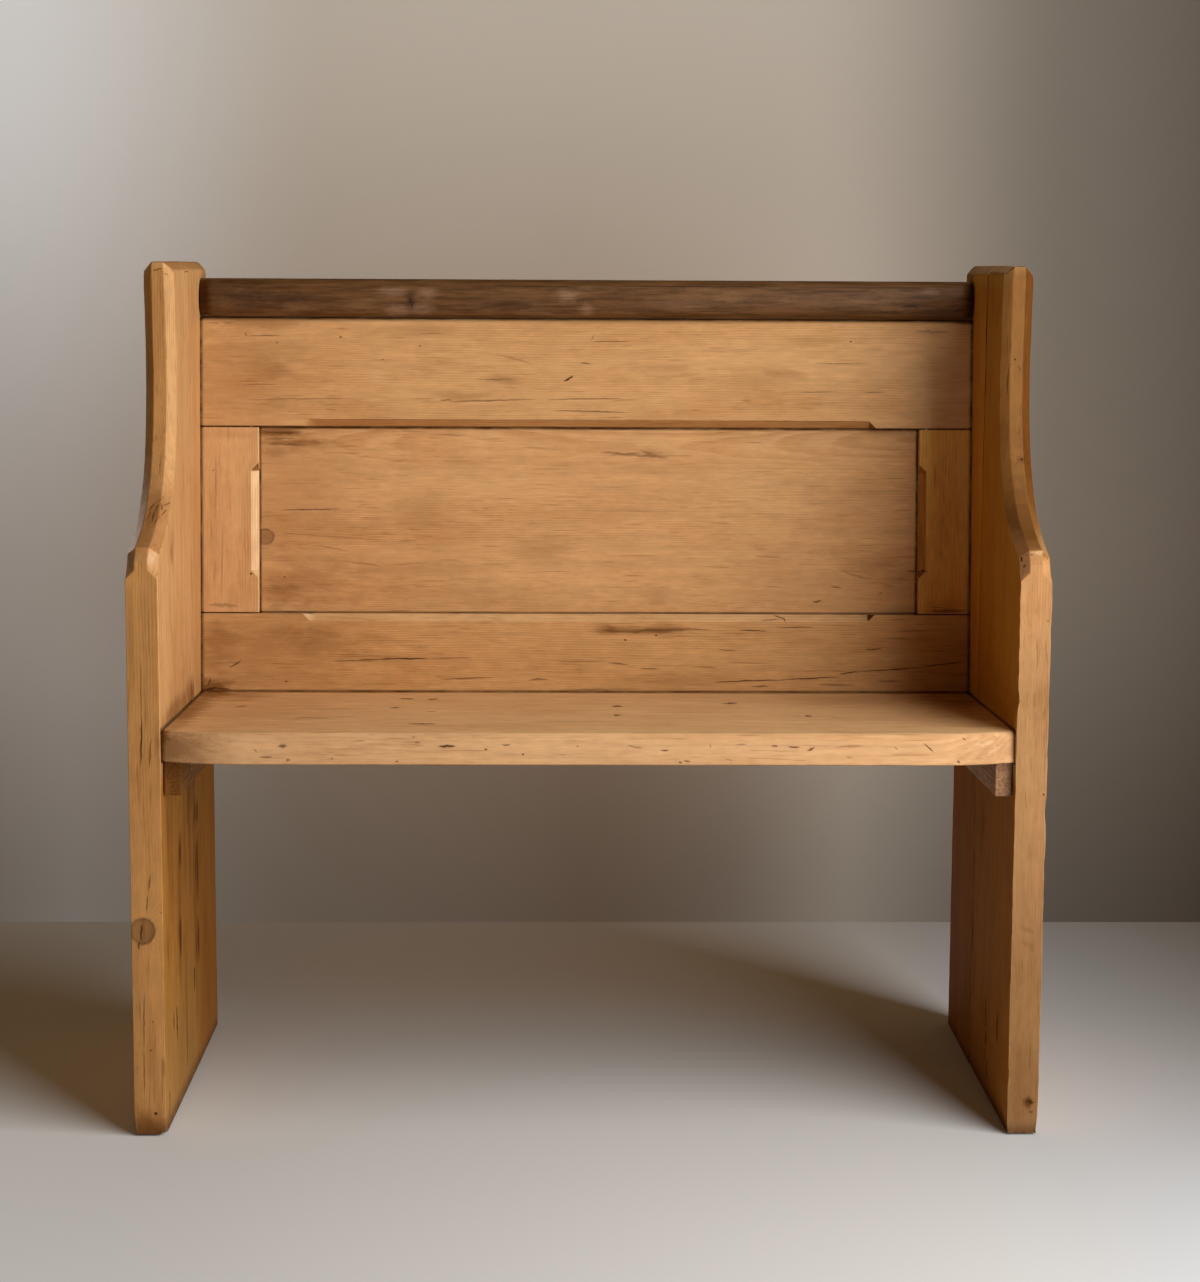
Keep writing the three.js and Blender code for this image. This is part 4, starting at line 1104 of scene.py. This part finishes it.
def matt(name, colour, left, right, low, change):
    """Plain matt paint with a slight unevenness, with painted light and shade: other shades at both
    sides, and darker low down.
    """
    paint = Paint(bpy.data.materials.new(name))
    cloud = paint.noise(paint.place(), (1.3, 1.3, 1.3), 2.0, 0.5)
    grit = paint.noise(paint.place(), (260.0, 260.0, 260.0), 2.0, 0.5)
    coords = paint.parts(paint.place())
    # painted light and shade: other shades at the left and right, and darker low down
    painted_light_tint = paint.mix(colour, left, paint.fade(coords[X], -0.35, -0.85))
    painted_light_tint = paint.mix(painted_light_tint, right, paint.fade(coords[X], 0.30, 0.70))
    painted_light_tint = paint.shaded(painted_light_tint, paint.fade(coords[Z], 0.0, 0.6) * (1 - low) + low)
    painted_light_tint = paint.shaded(painted_light_tint, cloud * change + (1 - change / 2))
    paint.finish(painted_light_tint, grit * 0.1 + 0.75, grit, strength=0.1, depth=0.0005, specular=0.2)
    return paint


def build_setting():
    # the floor: paler at its left and darker at its right, as painted light and shade
    floor = matt("floor_paint", (0.76, 0.755, 0.75), left=(0.84, 0.85, 0.86),
                 right=(0.67, 0.70, 0.75), low=1, change=0.06)
    grid("floor", [(-6, -5, 0), (6, -5, 0), (-6, 7, 0)], floor.owner)
    # the wall: paler at its left, darker at its right and low down, as painted light and shade
    wall = matt("wall_paint", (0.63, 0.575, 0.51), left=(0.95, 0.97, 1.0),
                right=(0.33, 0.295, 0.255), low=0.66, change=0.06)
    seen_from_front(wall)
    grid("wall", [(-1.9, 0.676, 0), (1.9, 0.676, 0), (-1.9, 0.676, 2.2)], wall.owner)


def seen_from_front(paint):
    """Leaves a wall to the camera's rays from its front alone, so it takes no light away."""
    out = next(node for node in paint.tree.nodes if node.type == "OUTPUT_MATERIAL")
    surface = Value(paint, out.inputs["Surface"].links[0].from_socket)
    ray = paint.node("ShaderNodeLightPath", {}, {}, "Is Camera Ray")
    behind = paint.node("ShaderNodeNewGeometry", {}, {}, "Backfacing")
    clear = paint.node("ShaderNodeBsdfTransparent", {}, {})
    shown = ray * (1 - behind)
    mixed = paint.node("ShaderNodeMixShader", {}, {0: shown, 1: clear, 2: surface})
    paint.tree.links.new(mixed.socket, out.inputs["Surface"])


def soft_lamp(name, place, target, size, watts, colour, pieces=()):
    """A large soft lamp. Where pieces are given, it lights them alone."""
    light = bpy.data.lights.new(name, "AREA")
    light.shape = "RECTANGLE"
    light.size, light.size_y = size
    light.energy = watts
    light.color = colour
    lamp = bpy.data.objects.new(name, light)
    lamp.location = place
    lamp.rotation_euler = (Vector(target) - Vector(place)).to_track_quat("-Z", "Y").to_euler()
    lamp.visible_camera = False
    bpy.context.scene.collection.objects.link(lamp)
    if pieces:
        lit = bpy.data.collections.new(name + "_lights")
        for piece in pieces:
            lit.objects.link(piece)
        lamp.light_linking.receiver_collection = lit


def build_lamps():
    """The main light is a tall window at the right. The rest lights the left end and the back."""
    soft_lamp("window", (1.1, -1.43, 2.2), (0, -1.43, 2.2), (2.12, 4.3), 112, (1, 0.985, 0.95))
    boards = [piece for piece in bpy.data.objects if piece.name.startswith("worn_")]
    left = [piece for piece in boards if "left_end" in piece.name]
    back = [piece for piece in boards if "_end_" not in piece.name]
    warm = (1.0, 0.95, 0.88)
    soft_lamp("left_fill", (-1.9, 1.7, 0.8), (-0.5, 0, 0.5), (1.0, 1.2), 24, warm, left)
    soft_lamp("back_fill", (0, 2.3, 0.9), (0, 0.1, 0.6), (1.6, 1.2), 36, warm, back)


def build_room():
    """The room's low warm light, and the grey that the camera sees past the floor and wall."""
    world = bpy.data.worlds.new("room")
    bpy.context.scene.world = world
    room = Paint(world)
    glow = {"Color": (1.0, 0.66, 0.34, 1), "Strength": 0.08}
    light = room.node("ShaderNodeBackground", {}, glow)
    seen = room.node("ShaderNodeBackground", {}, {"Color": (0.42, 0.39, 0.36, 1)})
    ray = room.node("ShaderNodeLightPath", {}, {}, "Is Camera Ray")
    both = room.node("ShaderNodeMixShader", {}, {0: ray, 1: light, 2: seen})
    out = room.tree.nodes.new("ShaderNodeOutputWorld")
    room.tree.links.new(both.socket, out.inputs["Surface"])


def build_camera():
    """The camera stands in front of the pew, as high as its back, and looks slightly down."""
    yaw, down, roll = 0.0184, 0.11548, 0.00521
    level = Vector((math.sin(yaw), math.cos(yaw), 0))
    ahead = level * math.cos(down) - Vector((0, 0, 1)) * math.sin(down)
    aside = Vector((math.cos(yaw), -math.sin(yaw), 0))
    over = aside.cross(ahead)
    right = aside * math.cos(roll) + over * math.sin(roll)
    up = over * math.cos(roll) - aside * math.sin(roll)
    data = bpy.data.cameras.new("camera")
    data.sensor_fit, data.sensor_width = "AUTO", 36
    data.lens = 66.13
    data.shift_y = -0.0748
    camera = bpy.data.objects.new("camera", data)
    place = Matrix.Translation((-0.03605, -2.70204, 0.95014))
    camera.matrix_world = place @ Matrix((right, up, -ahead)).transposed().to_4x4()
    bpy.context.scene.collection.objects.link(camera)
    bpy.context.scene.camera = camera


build_back()
build_seat()
build_ends()
build_bearers()
finish_metal()
build_setting()
build_lamps()
build_room()
build_camera()
bpy.context.scene.view_settings.view_transform = "Standard"
